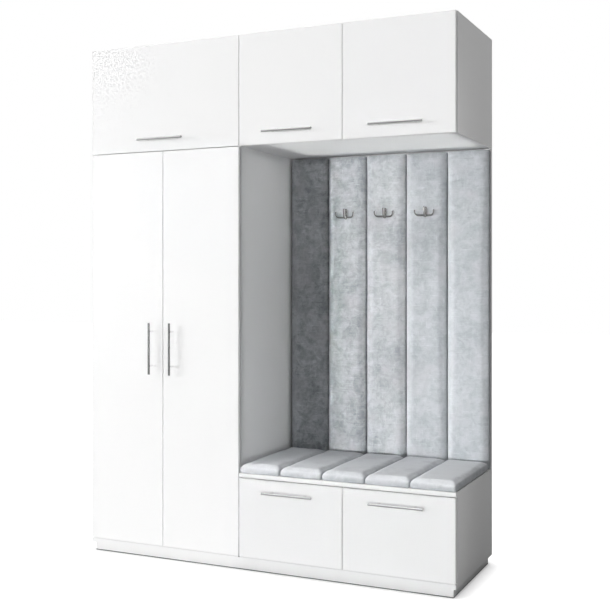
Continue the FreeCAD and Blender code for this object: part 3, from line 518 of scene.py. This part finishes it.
DOORS = ("left_door", "right_door")
FLAPS = ("left_flap", "middle_flap", "right_flap")
DRAWERS = ("left_drawer", "right_drawer")
DRESSES: dict[Finish, tuple[str, ...]] = {
    FRONT_FILM: (*DOORS, *FLAPS, *each(DRAWERS, "front")),
    BOARD_FILM: ("plinth_rails", "base_board", "wardrobe_left_side", "wardrobe_right_side",
                 "wardrobe_top", "hat_shelf", "left_cupboard_boards", "right_cupboard_boards",
                 "bench_uprights", "bench_top", "niche_back_board", "wall_fixing_rails",
                 *each(DRAWERS, "box")),
    BACK_SHEET: ("back_sheets",),
    BAR_STEEL: each(FLAPS + DRAWERS, "handle"),
    UPRIGHT_BAR_STEEL_PAINTED_SHADE: each(DOORS, "handle"),
    HOOK_NICKEL: ("coat_hooks",),
    RAIL_CHROME: ("clothes_rail", "rail_sockets"),
    ROD_CHROME: each(FLAPS, "strut_rods"),
    ZINC: ("door_hinge_arms", "flap_hinge_arms", *each(DOORS, "hinge_cups"),
           *each(FLAPS, "hinge_cups_and_lugs"), "strut_brackets", "drawer_runners",
           *each(DRAWERS, "slides")),
    STRUT_PAINT: each(FLAPS, "strut_tubes"),
}


def dress(piece: bpy.types.Object, finish: Finish) -> None:
    """Give a piece one finish all over."""
    if not piece.material_slots:
        piece.data.materials.append(None)
    for place in piece.material_slots:
        place.material = material_of(finish)


def add_object(name: str, data: bpy.types.ID) -> bpy.types.Object:
    """Put a mesh, a lamp or a camera into the scene at the origin."""
    made = bpy.data.objects.new(name, data)
    bpy.context.scene.collection.objects.link(made)
    return made


def mount(piece: bpy.types.Object, finish: Finish, body: str) -> None:
    """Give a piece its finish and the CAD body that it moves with."""
    dress(piece, finish)
    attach(piece, body)
    LOG.info("%s: %d faces", piece.name, len(piece.data.polygons))


def settle(bm: bmesh.types.BMesh, name: str, smooth: bool = True) -> bpy.types.Mesh:
    """Close a bmesh's seams, turn its faces outwards and hand it over as a mesh.

    Args:
        bm: the bmesh, which is freed.
        name: name of the mesh.
        smooth: whether its faces are shaded smooth.

    Returns:
        The mesh.
    """
    bmesh.ops.remove_doubles(bm, verts=bm.verts, dist=MERGE_DISTANCE)
    bmesh.ops.recalc_face_normals(bm, faces=bm.faces)
    for face in bm.faces:
        face.smooth = smooth
    mesh = bpy.data.meshes.new(name)
    bm.to_mesh(mesh)
    bm.free()
    return mesh


class PadKind(Enum):
    """Where a row of padded panels lies."""

    SEAT = "seat_pad"
    BACK = "back_pad"


@dataclass(frozen=True)
class Rounding:
    """A rounded edge: its width and the faces across it."""

    radius: float
    segments: int


@dataclass
class PadRow:
    """Like panels of foam under velvet, filled once by simulation and laid side by side."""

    kind: PadKind
    velvet: Velvet
    count: int = 5
    voxel: float = 6 * MM
    shoulder: Rounding = Rounding(8 * MM, 6)
    tuck: Rounding = Rounding(3 * MM, 2)
    corner: Rounding = Rounding(5 * MM, 4)
    hem: Rounding = Rounding(4 * MM, 3)
    end_share: float = 0.49
    fall: tuple[float, float] = (15 * MM, 0.0)
    fall_reach: float = 48 * MM
    crown: float = 5 * MM
    swell: float = 6.5 * MM
    side_play: float = 0.25 * MM
    draw_in: float = 0.4 * MM
    unevenness: float = 0.7 * MM
    lumps: tuple[float, float] = (14.0, 9.0)
    lumps_apart: float = 7.3
    back_lumps: float = 40.0
    smooth_rounds: int = 3
    smooth_share: float = 0.5
    pressure: float = 4.0
    cloth_mass: float = 0.3
    cloth_quality: int = 5
    frames: int = 20
    crush: tuple[float, ...] = (1.0, 1.0, 1.0, 1.0, 1.0)
    body: str = "carcass"

    def node(self, index: int) -> str:
        """Name of the CAD node that a panel stands for."""
        return f"{self.kind.value}_{index + 1}"

    def size(self) -> Vector:
        """Width, length and thickness of one panel."""
        low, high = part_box(self.node(0))
        span = high - low
        return span if self.kind is PadKind.SEAT else Vector((span.x, span.z, span.y))

    def seat(self, index: int) -> Matrix:
        """Where a panel's own frame lies: width on X, length on Y, base at Z 0."""
        low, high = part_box(self.node(index))
        middle = (low + high) / 2
        if self.kind is PadKind.SEAT:
            return Matrix.Translation((middle.x, middle.y, low.z))
        upright = Matrix.Rotation(math.pi / 2, 4, "X")
        return Matrix.Translation((middle.x, high.y, middle.z)) @ upright

    def foam(self) -> bpy.types.Mesh:
        """The unfilled block, rounded over its top and a little smaller than the panel."""
        size = self.size()
        top = size.z - self.crown
        brink = top - LEVEL_DISTANCE
        play = 2 * self.side_play
        bm = bmesh.new()
        bmesh.ops.create_cube(bm, size=1)
        bmesh.ops.scale(bm, verts=bm.verts, vec=(size.x - play, size.y - play, top))
        bmesh.ops.translate(bm, verts=bm.verts, vec=(0, 0, top / 2))
        self.round_edges(bm, self.corner, lambda low, high, place: low < top / 2 < high)
        self.round_edges(bm, self.shoulder,
                         lambda low, high, place: low > brink and not self.tucked(place))
        self.round_edges(bm, self.tuck,
                         lambda low, high, place: low > brink and self.tucked(place))
        self.round_edges(bm, self.hem, lambda low, high, place: high < LEVEL_DISTANCE)
        return settle(bm, f"{self.kind.value}_foam")

    def tucked(self, place: float) -> bool:
        """Whether a place on the length is a tucked end: a seat's back end, both ends of a back."""
        at_end = abs(place) > self.end_share * self.size().y
        return at_end and (place > 0 or self.kind is PadKind.BACK)

    def round_edges(self, bm: bmesh.types.BMesh, rounding: Rounding,
                    chosen: Callable[[float, float, float], bool]) -> None:
        """Bevel the chosen edges.

        Args:
            bm: the block.
            rounding: width of the bevel and the faces across it.
            chosen: test on an edge's lowest and highest Z and the Y of its middle.
        """
        edges = []
        for edge in bm.edges:
            heights = sorted(vert.co.z for vert in edge.verts)
            if chosen(*heights, (edge.verts[0].co.y + edge.verts[1].co.y) / 2):
                edges.append(edge)
        bmesh.ops.bevel(bm, geom=edges, offset=rounding.radius, offset_type="OFFSET",
                        affect="EDGES", segments=rounding.segments, profile=0.5, material=-1,
                        clamp_overlap=True)

    def fill(self, foam: bpy.types.Mesh) -> bpy.types.Mesh:
        """Blow the block up with a cloth simulation, with its hem held down.

        Args:
            foam: the unfilled block.

        Returns:
            The filled panel, each point within its cap.
        """
        blank = add_object(f"{self.kind.value}_blank", foam)
        remesh = blank.modifiers.new("even_faces", "REMESH")
        remesh.mode = "VOXEL"
        remesh.voxel_size = self.voxel
        graph = bpy.context.evaluated_depsgraph_get()
        even = bpy.data.meshes.new_from_object(blank.evaluated_get(graph))
        bpy.data.objects.remove(blank)
        start = [vert.co.copy() for vert in even.vertices]
        moved = self.simulate(even)
        for vert, old, new in zip(even.vertices, start, moved):
            step = new - old
            rise = min(max(step.z, 0.0), self.swell)
            aside = [min(max(part, -self.side_play), self.side_play) for part in step.xy]
            vert.co = old + Vector((aside[0], aside[1], rise))
        return even

    def simulate(self, even: bpy.types.Mesh) -> list[Vector]:
        """Run the cloth and read where each point ends up.

        Args:
            even: the evenly meshed block.

        Returns:
            The points after the last frame.
        """
        cushion = add_object(f"{self.kind.value}_filling", even)
        held = cushion.vertex_groups.new(name="hem")
        low = [vert.index for vert in even.vertices if vert.co.z < 2 * self.hem.radius]
        held.add(low, 1.0, "REPLACE")
        cloth = cushion.modifiers.new("filling", "CLOTH")
        cloth.settings.vertex_group_mass = held.name
        cloth.settings.use_pressure = True
        cloth.settings.uniform_pressure_force = self.pressure
        cloth.settings.effector_weights.gravity = 0
        cloth.settings.mass = self.cloth_mass
        cloth.settings.quality = self.cloth_quality
        scene = bpy.context.scene
        for number in range(1, self.frames + 1):
            scene.frame_set(number)
        graph = bpy.context.evaluated_depsgraph_get()
        moved = [vert.co.copy() for vert in cushion.evaluated_get(graph).data.vertices]
        scene.frame_set(1)
        cushion.modifiers.clear()
        bpy.data.objects.remove(cushion)
        return moved

    def panel(self, index: int, filled: bpy.types.Mesh) -> bpy.types.Mesh:
        """One panel in its place, with its own small unevenness.

        Args:
            index: which panel of the row.
            filled: the filled panel that all share.

        Returns:
            The panel's mesh.
        """
        size = self.size()
        bm = bmesh.new()
        bm.from_mesh(filled)
        for _ in range(self.smooth_rounds):
            bmesh.ops.smooth_vert(bm, verts=bm.verts, factor=self.smooth_share, use_axis_x=True,
                                  use_axis_y=True, use_axis_z=True)
        for vert in bm.verts:
            self.shape(vert, size, index)
        bmesh.ops.transform(bm, matrix=self.seat(index), verts=bm.verts)
        return settle(bm, self.node(index))

    def shape(self, vert: bmesh.types.BMVert, size: Vector, index: int) -> None:
        """Draw a point in between the corners, dome the face to its edges, make it a little uneven.

        Args:
            vert: the point, in the panel's own frame.
            size: width, length and thickness of the panel.
            index: which panel of the row.
        """
        across, along = 2 * vert.co.x / size.x, 2 * vert.co.y / size.y
        height = min(max(vert.co.z / size.z, 0.0), 1.0)
        pull = self.draw_in * height
        vert.co.x -= pull * across * max(0.0, 1 - along ** 4)
        vert.co.y -= pull * along * max(0.0, 1 - across ** 2)
        insides = (size.x / 2 - abs(vert.co.x), size.y / 2 + vert.co.y)
        for fall, inside in zip(self.fall, insides):
            near = min(max(0.0, 1 - inside / self.fall_reach), 1.0)
            vert.co.z -= fall * height * (1 - math.sqrt(1 - near ** 2))
        layer = self.lumps_apart * index + (0 if self.kind is PadKind.SEAT else self.back_lumps)
        spot = Vector((vert.co.x * self.lumps[0], vert.co.y * self.lumps[1], layer))
        vert.co.z += self.unevenness * noise.noise(spot) * height ** 2

    def cover(self, index: int) -> Velvet:
        """The velvet of one panel, crushed more or less than the row's."""
        contrast = self.velvet.contrast * self.crush[index]
        return replace(self.velvet, name=f"{self.velvet.name}_{index + 1}", contrast=contrast)

    def build(self) -> None:
        """Fill the row's form once and lay every panel."""
        filled = self.fill(self.foam())
        for index in range(self.count):
            piece = add_object(f"{self.node(index)}_cover", self.panel(index, filled))
            finer = piece.modifiers.new("finer", "SUBSURF")
            finer.levels = 1
            finer.render_levels = 1
            mount(piece, self.cover(index), self.body)
            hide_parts(self.node(index))


@dataclass
class CoatHooks:
    """The hooks' hold on the back pads: each plate sits in a shallow dimple of the velvet."""

    pads: tuple[int, ...] = (1, 2, 3)
    plate: tuple[float, float] = (16 * MM, 50 * MM)
    plate_back: float = 256.6 * MM
    reach: float = 34 * MM
    sink: float = 0.5 * MM
    front_depth: float = 10 * MM

    def press(self) -> None:
        """Press the covers of the pads that carry hooks."""
        level = sum(corner.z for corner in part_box("coat_hooks")) / 2
        for index in self.pads:
            cover = bpy.data.objects[f"back_pad_{index + 1}_cover"]
            low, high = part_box(f"back_pad_{index + 1}")
            middle = (low.x + high.x) / 2
            for vert in cover.data.vertices:
                beside = max(abs(vert.co.x - middle) - self.plate[0] / 2, 0.0)
                above = max(abs(vert.co.z - level) - self.plate[1] / 2, 0.0)
                away = math.hypot(beside, above) / self.reach
                need = self.plate_back + self.sink - vert.co.y
                if away < 1 and need > 0 and vert.co.y < low.y + self.front_depth:
                    vert.co.y += need * (1 - away) ** 2 * (1 + 2 * away)
            LOG.info("%s: dimple for its hook", cover.name)


@dataclass(frozen=True)
class Spot:
    """A place on a face and the way the face looks."""

    point: Triple
    facing: Triple

    def matrix(self) -> Matrix:
        """The frame of a fitting that stands on this face."""
        turn = Vector(self.facing).to_track_quat("Z", "Y").to_matrix().to_4x4()
        return Matrix.Translation(self.point) @ turn


@dataclass(frozen=True)
class TurnedHead:
    """A small round fitting, turned from its half outline of radius and height in millimetres."""

    name: str
    outline: tuple[tuple[float, float], ...]
    steps: int = 12

    def mesh(self) -> bpy.types.Mesh:
        """The fitting at the origin, standing on Z."""
        bm = bmesh.new()
        points = [bm.verts.new((radius * MM, 0, height * MM)) for radius, height in self.outline]
        lines = [bm.edges.new(pair) for pair in zip(points, points[1:])]
        bmesh.ops.spin(bm, geom=points + lines, cent=(0, 0, 0), axis=(0, 0, 1), dvec=(0, 0, 0),
                       angle=math.tau, steps=self.steps, use_merge=True, use_duplicate=False)
        return settle(bm, self.name, smooth=False)

    def scatter(self, name: str, spots: Iterable[Spot], body: str, finish: Finish) -> None:
        """Set one fitting on each spot, all in one piece.

        Args:
            name: name of the piece.
            spots: where the fittings stand.
            body: CAD body that they move with.
            finish: what they are made of.
        """
        master = self.mesh()
        bm = bmesh.new()
        for spot in spots:
            first = len(bm.verts)
            bm.from_mesh(master)
            bm.verts.ensure_lookup_table()
            bmesh.ops.transform(bm, matrix=spot.matrix(), verts=bm.verts[first:])
        mesh = bpy.data.meshes.new(name)
        bm.to_mesh(mesh)
        bm.free()
        mount(add_object(name, mesh), finish, body)


SCREW = TurnedHead("screw_head", ((0, 0.5), (1.2, 0.5), (1.4, 1.5), (2.4, 1.45), (3.4, 1.0),
                                  (3.9, 0.3), (3.9, 0), (0, 0)))
BUMPER = TurnedHead("bumper", ((0, 2.2), (1.6, 2.1), (3.2, 1.6), (4.2, 0.7), (4.4, 0), (0, 0)), 16)
NAIL = TurnedHead("nail_head", ((0, 0.6), (1.6, 0.5), (2.0, 0.2), (2.0, 0), (0, 0)), 8)


@dataclass(frozen=True)
class Strip:
    """A thin moulded strip, drawn out from its section of reach and height in millimetres."""

    section: tuple[tuple[float, float], ...]
    finish: Finish

    def lay(self, name: str, runs: Iterable[tuple[Vector, Vector]], body: str = "carcass") -> None:
        """Lay the strip along straight level runs, all in one piece.

        Args:
            name: name of the piece.
            runs: start and end of each run; the strip reaches out to the right of its way.
            body: CAD body that it moves with.
        """
        bm = bmesh.new()
        for start, end in runs:
            outwards = (end - start).cross(Vector((0, 0, 1))).normalized()
            outline = [bm.verts.new(start + outwards * reach * MM + Vector((0, 0, height * MM)))
                       for reach, height in self.section]
            face = bm.faces.new(outline)
            drawn = bmesh.ops.extrude_face_region(bm, geom=[face], use_keep_orig=True)
            moved = [item for item in drawn["geom"] if isinstance(item, bmesh.types.BMVert)]
            bmesh.ops.translate(bm, verts=moved, vec=end - start)
        mount(add_object(name, settle(bm, name, smooth=False)), self.finish, body)


DUST_STRIP = Strip(((0, 0), (12.4, 0), (13, 0.6), (13, 2.4), (12.4, 3), (0.6, 3), (0, 2.4)),
                   SEAL_WHITE)
# a moulded lip round the plinth's foot whose dark grey is painted shadow, standing in for the
# contact shadow on the floor
CONTACT_SHADOW_STRIP = Strip(((0, 0), (0.6, 0), (0.9, 1.0), (0.9, 2.4), (0.4, 3.6), (0, 4.0)), CONTACT_SHADOW_GREY)


@dataclass(frozen=True)
class HingeLine:
    """The hinges of one front: its joint, their count, end margins, way inwards and line's axis."""

    joint: str
    count: int
    margin: float
    inwards: Triple
    axis: int


X_AXIS, Z_AXIS = 0, 2
DOOR_LINE = HingeLine("swing", 4, 105 * MM, (1, 0, 0), Z_AXIS)
FLAP_LINE = HingeLine("lift", 2, 95 * MM, (0, 0, -1), X_AXIS)
HINGE_LINES = {"left_door": DOOR_LINE, "right_door": replace(DOOR_LINE, inwards=(-1, 0, 0)),
               "left_flap": replace(FLAP_LINE, count=3), "middle_flap": FLAP_LINE,
               "right_flap": FLAP_LINE}


@dataclass
class Fittings:
    """Screws, nails, bumpers and strips that the boards and fronts carry."""

    cup_from_pin: float = 12.5 * MM
    wing_depth: float = 45 * MM
    wing_thick: float = 1.75 * MM
    wing_screw: float = 16 * MM
    cup_screw: float = 22.5 * MM
    flange_thick: float = 1 * MM
    wall_from_pin: float = 8 * MM
    bumper_inset: float = 14 * MM
    nail_inset: float = 9 * MM
    nail_pitch: float = 150 * MM
    strip_play: float = 4 * MM
    strip_back: float = -260 * MM
    bays: tuple[tuple[str, float, float], ...] = (
        ("left", -882 * MM, -118 * MM), ("middle", -82 * MM, 391 * MM),
        ("right", 409 * MM, 882 * MM))
    bracket_thick: float = 2 * MM
    bracket_screws: tuple[tuple[float, float], ...] = ((-76.5 * MM, 2156 * MM),
                                                       (-76.5 * MM, 2184 * MM))
    lug_from_wall: float = 35 * MM
    lug_screws: tuple[tuple[float, float], ...] = ((-255 * MM, 2318 * MM),
                                                   (-255 * MM, 2330 * MM))

    @staticmethod
    def pin(joint: str) -> Vector:
        """Where a joint's pin is."""
        found = next(item for item in frame["joints"] if item["name"] == joint)
        return Vector(found["pos_m"])

    @staticmethod
    def spread(low: float, high: float, margin: float, count: int) -> list[float]:
        """Evenly spaced places between two margins."""
        step = (high - low - 2 * margin) / (count - 1)
        return [low + margin + step * index for index in range(count)]

    def hinge_screws(self) -> None:
        """Screw the cup of every hinge to its front and the plate to the carcass."""
        plates = []
        for front, line in HINGE_LINES.items():
            pin, (low, high) = self.pin(f"{front}_{line.joint}"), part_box(front)
            cup = pin + Vector(line.inwards) * self.cup_from_pin
            cup.y = high.y + self.flange_thick
            plate = pin + Vector(line.inwards) * (self.wall_from_pin + self.wing_thick)
            plate.y += self.wing_depth
            cups = []
            for place in self.spread(low[line.axis], high[line.axis], line.margin, line.count):
                for way in (-1, 1):
                    cup[line.axis] = place + way * self.cup_screw
                    plate[line.axis] = place + way * self.wing_screw
                    cups.append(Spot(tuple(cup), BACKWARDS))
                    plates.append(Spot(tuple(plate), line.inwards))
            SCREW.scatter(f"{front}_cup_screws", cups, front, ZINC)
        SCREW.scatter("hinge_plate_screws", plates, "carcass", ZINC)

    def bumpers(self) -> None:
        """Put two soft bumpers on the back of every front, away from its hinges."""
        for front in DRESSES[FRONT_FILM]:
            low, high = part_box(front)
            inset = self.bumper_inset
            left, right = low.x + inset, high.x - inset
            foot, head = low.z + inset, high.z - inset
            if front == "left_door":
                corners = [(right, foot), (right, head)]
            elif front == "right_door":
                corners = [(left, foot), (left, head)]
            else:
                corners = [(left, foot), (right, foot)]
            spots = [Spot((x, high.y, z), BACKWARDS) for x, z in corners]
            body = front.replace("_front", "")
            BUMPER.scatter(f"{body}_bumpers", spots, body, BUMPER_GEL)

    def strut_screws(self) -> None:
        """Screw the struts' brackets to the walls and their lugs to the flaps."""
        brackets = []
        for side, left, right in self.bays:
            lugs = []
            for wall, inwards in ((left, 1), (right, -1)):
                brackets += [Spot((wall + inwards * self.bracket_thick, *at), (inwards, 0, 0))
                             for at in self.bracket_screws]
                lugs += [Spot((wall + inwards * self.lug_from_wall, *at), BACKWARDS)
                         for at in self.lug_screws]
            SCREW.scatter(f"{side}_flap_lug_screws", lugs, f"{side}_flap", ZINC)
        SCREW.scatter("strut_bracket_screws", brackets, "carcass", ZINC)

    def nails(self) -> None:
        """Nail the back sheets to the edges of the boards."""
        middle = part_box("wardrobe_right_side")[1].x
        (left, _, foot), (right, back, head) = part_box("back_sheets")
        seam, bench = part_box("wardrobe_top")[1].z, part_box("bench_top")[0].z
        sheets = ((left, middle, foot, seam), (left, middle, seam, head),
                  (middle, right, seam, head), (middle, right, foot, bench))
        inset, pitch = self.nail_inset, self.nail_pitch
        spots = set()
        for west, east, low, high in sheets:
            for x in self.spread(west, east, inset, math.ceil((east - west) / pitch)):
                spots |= {(x, low + inset), (x, high - inset)}
            for z in self.spread(low, high, inset, math.ceil((high - low) / pitch)):
                spots |= {(west + inset, z), (east - inset, z)}
        places = [Spot((x, back, z), BACKWARDS) for x, z in sorted(spots)]
        NAIL.scatter("back_nails", places, "carcass", ZINC)

    def strips(self) -> None:
        """Lay the dust strips under the doors and drawers, and a dark strip round the plinth as
        painted contact shadow.
        """
        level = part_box("base_board")[1].z
        runs = []
        for first, last in (DOORS, each(DRAWERS, "front")):
            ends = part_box(first)[0].x + self.strip_play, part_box(last)[1].x - self.strip_play
            runs.append(tuple(Vector((end, self.strip_back, level)) for end in ends))
        DUST_STRIP.lay("dust_strips", runs)
        (west, front, _), (east, back, _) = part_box("plinth_rails")
        round_plinth = ((west, front), (east, front), (east, back), (west, back))
        corners = [Vector((x, y, 0)) for x, y in round_plinth]
        CONTACT_SHADOW_STRIP.lay("contact_shadow_strip", zip(corners, corners[1:] + corners[:1]))

    def build(self) -> None:
        """Set every fitting."""
        self.hinge_screws()
        self.bumpers()
        self.strut_screws()
        self.nails()
        self.strips()


@dataclass(frozen=True)
class GridLamp:
    """A flat lamp behind a fine grid: its light goes one way and fans out by its spread alone."""

    name: str
    way: Triple
    middle: Triple
    size: tuple[float, float]
    power: float
    away: float = 2.5
    spread: float = 0.6


FRONT_Y = -0.275
NICHE_WAY = (0.385, 1.0, 0.0)
NICHE_EDGE = ((-0.0825, 0.058), (-0.0575, 0.066), (-0.0325, 0.077))
GRID_LAMPS = (
    GridLamp("doors_lamp", (-0.64, 1.0, 0.0), (-0.5, FRONT_Y, 0.94), (0.674, 1.92), 1.95),
    GridLamp("flaps_lamp", (-0.5, 1.0, 0.0), (0.0, FRONT_Y, 2.16), (1.61, 0.52), 1.02),
    GridLamp("drawers_lamp", (-0.41, 1.0, 0.0), (0.4, FRONT_Y, 0.207), (0.925, 0.454), 0.5),
    GridLamp("niche_left_lamp", NICHE_WAY, (0.1385, FRONT_Y, 1.164), (0.2958, 1.462), 1.1315),
    GridLamp("niche_foot_lamp", NICHE_WAY, (-0.0575, FRONT_Y, 0.469), (0.07, 0.072), 0.0132),
    *(GridLamp(f"niche_edge_lamp_{number}", NICHE_WAY, (x, FRONT_Y, 1.2), (0.0233, 1.39), power)
      for number, (x, power) in enumerate(NICHE_EDGE, 1)),
    GridLamp("niche_right_lamp", NICHE_WAY, (0.601, FRONT_Y, 1.164), (0.568, 1.462), 1.87),
    GridLamp("niche_low_lamp", (0.385, 1.0, -0.3), (0.38, FRONT_Y, 1.1), (0.68, 0.9), 0.38,
             spread=8.0),
    GridLamp("niche_top_lamp", (0.0, 1.0, 1.2), (0.455, -0.035, 1.9), (0.84, 0.35), 0.55, 2.0),
    GridLamp("niche_wall_lamp", (-1.0, 0.05, 0.0), (0.9, -0.04, 1.18), (0.46, 1.38), 0.25, 2.0),
    GridLamp("right_end_lamp", (-1.0, 0.0, 0.0), (0.9, -0.3, 1.1), (0.3, 2.1), 0.29, 1.5, 25.0))


@dataclass(frozen=True)
class OpenLamp:
    """A wide flat lamp without a grid."""

    name: str
    place: Triple
    size: tuple[float, float]
    power: float
    spread: float = 180.0


OPEN_LAMPS = (OpenLamp("key_lamp", (-14.5, -11.8, 3.0), (9.6, 7.5), 1900.0),
              OpenLamp("side_lamp", (2.6, -0.6, 3.4), (1.0, 1.0), 3.0),
              OpenLamp("back_lamp", (-2.8, 7.0, 2.6), (4.0, 3.0), 170.0))


@dataclass
class Studio:
    """Pale floor, soft light from the front left and the photograph's point of view."""

    camera_place: Triple = (2.0531, -4.2946, 1.3032)
    camera_turn: float = 25.168
    lens: float = 59.98
    sensor: float = 36.0
    shift: tuple[float, float] = (0.0210, -0.0425)
    aim: Triple = (0.0, 0.0, 1.2)
    high_turn: tuple[float, float] = (30.0, 78.0)
    high_strength: float = 1.75
    high_spread: float = 45.0
    ambient: float = 0.036
    ambient_slope: Triple = (0.02, -0.02, 0.0)
    floor_colour: Colour = (0.52, 0.52, 0.52)
    floor_glow: float = 1.0
    floor_shade_reach: float = 0.1
    floor_shade_samples: int = 8
    floor_reach: float = 20.0

    def seen(self, recipe: Recipe) -> Wire:
        """1 for rays that show the background itself, to the eye or in a reflection."""
        rays = [recipe.node("ShaderNodeLightPath", out=kind)
                for kind in ("Is Camera Ray", "Is Glossy Ray", "Is Transmission Ray")]
        return rays[0].or_more(rays[1]).or_more(rays[2])

    def floor(self) -> None:
        """A wide pale floor that keeps the lamps' shadows, its glow to the eye dimmed near the unit
        as painted contact shade.
        """
        bm = bmesh.new()
        bmesh.ops.create_grid(bm, x_segments=1, y_segments=1, size=self.floor_reach)
        piece = add_object("studio_floor", settle(bm, "studio_floor", smooth=False))
        made = bpy.data.materials.new("studio_floor_paint")
        recipe = Recipe(made)
        matt = recipe.node("ShaderNodeBsdfDiffuse", sockets={"Color": full(self.floor_colour)})
        # painted shade: the glow seen by the eye is dimmed where the floor is hemmed in near the
        # unit
        painted_shade_share = recipe.node("ShaderNodeAmbientOcclusion", {"samples": self.floor_shade_samples},
                               {"Distance": self.floor_shade_reach}, out="AO")
        eye = recipe.node("ShaderNodeLightPath", out="Is Camera Ray")
        glow = recipe.node("ShaderNodeEmission",
                           sockets={"Strength": eye * painted_shade_share * self.floor_glow})
        recipe.node_output(recipe.node("ShaderNodeAddShader", sockets={0: matt, 1: glow}))
        piece.data.materials.append(made)

    def world(self) -> None:
        """White to the eye and in reflections, an even soft light for everything else."""
        made = bpy.data.worlds.new("studio_air")
        recipe = Recipe(made)
        way = recipe.node("ShaderNodeTexCoord", out="Generated")
        light_by_way = recipe.node("ShaderNodeVectorMath", {"operation": "DOT_PRODUCT"},
                           {0: way, 1: self.ambient_slope}, out="Value")
        seen = self.seen(recipe)
        strength = seen + (1 - seen) * (light_by_way + self.ambient)
        sky = recipe.node("ShaderNodeBackground",
                          sockets={"Color": (1, 1, 1, 1), "Strength": strength})
        recipe.node_output(sky, "ShaderNodeOutputWorld")
        bpy.context.scene.world = made

    def hang(self, plan: Union[GridLamp, OpenLamp], place: Vector, way: Vector) -> None:
        """Hang one flat lamp.

        Args:
            plan: its name, width and height, power in watts and spread in degrees.
            place: its middle.
            way: the way it faces.
        """
        lamp = bpy.data.lights.new(plan.name, "AREA")
        lamp.shape = "RECTANGLE"
        lamp.size, lamp.size_y = plan.size
        lamp.energy = plan.power
        lamp.spread = math.radians(plan.spread)
        holder = add_object(plan.name, lamp)
        holder.location = place
        holder.rotation_euler = way.to_track_quat("-Z", "Y").to_euler()
        holder.visible_camera = False

    def key(self) -> None:
        """One wide soft lamp at the front left, and weak ones for the right ends and the back."""
        for plan in OPEN_LAMPS:
            place = Vector(plan.place)
            self.hang(plan, place, Vector(self.aim) - place)

    def fill(self) -> None:
        """Lamps behind grids for the fronts, the niche with its wall's shadow and the right end."""
        for plan in GRID_LAMPS:
            way = Vector(plan.way).normalized()
            self.hang(plan, Vector(plan.middle) - way * plan.away, way)

    def high(self) -> None:
        """A broad weaker light from high up on the same side, for the level faces and the floor."""
        lamp = bpy.data.lights.new("high_lamp", "SUN")
        lamp.energy = self.high_strength
        lamp.angle = math.radians(self.high_spread)
        aside, up = (math.radians(angle) for angle in self.high_turn)
        level = Vector((math.sin(aside), math.cos(aside), 0)) * math.cos(up)
        way = level - Vector((0, 0, math.sin(up)))
        add_object("high_lamp", lamp).rotation_euler = way.to_track_quat("-Z", "Y").to_euler()

    def camera(self) -> None:
        """The photograph's camera."""
        made = bpy.data.cameras.new("photo_camera")
        made.sensor_width = self.sensor
        made.lens = self.lens
        made.shift_x, made.shift_y = self.shift
        holder = add_object("photo_camera", made)
        holder.location = self.camera_place
        holder.rotation_euler = (math.pi / 2, 0, math.radians(self.camera_turn))
        bpy.context.scene.camera = holder

    def build(self) -> None:
        """Set the whole studio."""
        self.camera()
        self.floor()
        self.world()
        self.key()
        self.fill()
        self.high()
        bpy.context.scene.view_settings.view_transform = "Standard"


def dress_nodes() -> None:
    """Give every carried-over CAD node its finish."""
    for finish, names in DRESSES.items():
        for name in names:
            dress(frame["nodes"][name], finish)
            LOG.info("%s: %s", name, finish.name)


def main() -> None:
    """Build the studio, the finishes, the pads and the fittings, in order."""
    logging.basicConfig(level=logging.INFO, format="%(message)s")
    Studio().build()
    dress_nodes()
    PadRow(PadKind.SEAT, SEAT_VELVET_PAINTED_LIGHT, fall=(8 * MM, 15 * MM)).build()
    PadRow(PadKind.BACK, BACK_VELVET, voxel=7 * MM, crush=(1.7, 1.2, 1.0, 0.75, 0.7)).build()
    CoatHooks().press()
    Fittings().build()


if __name__ == "__main__":
    main()
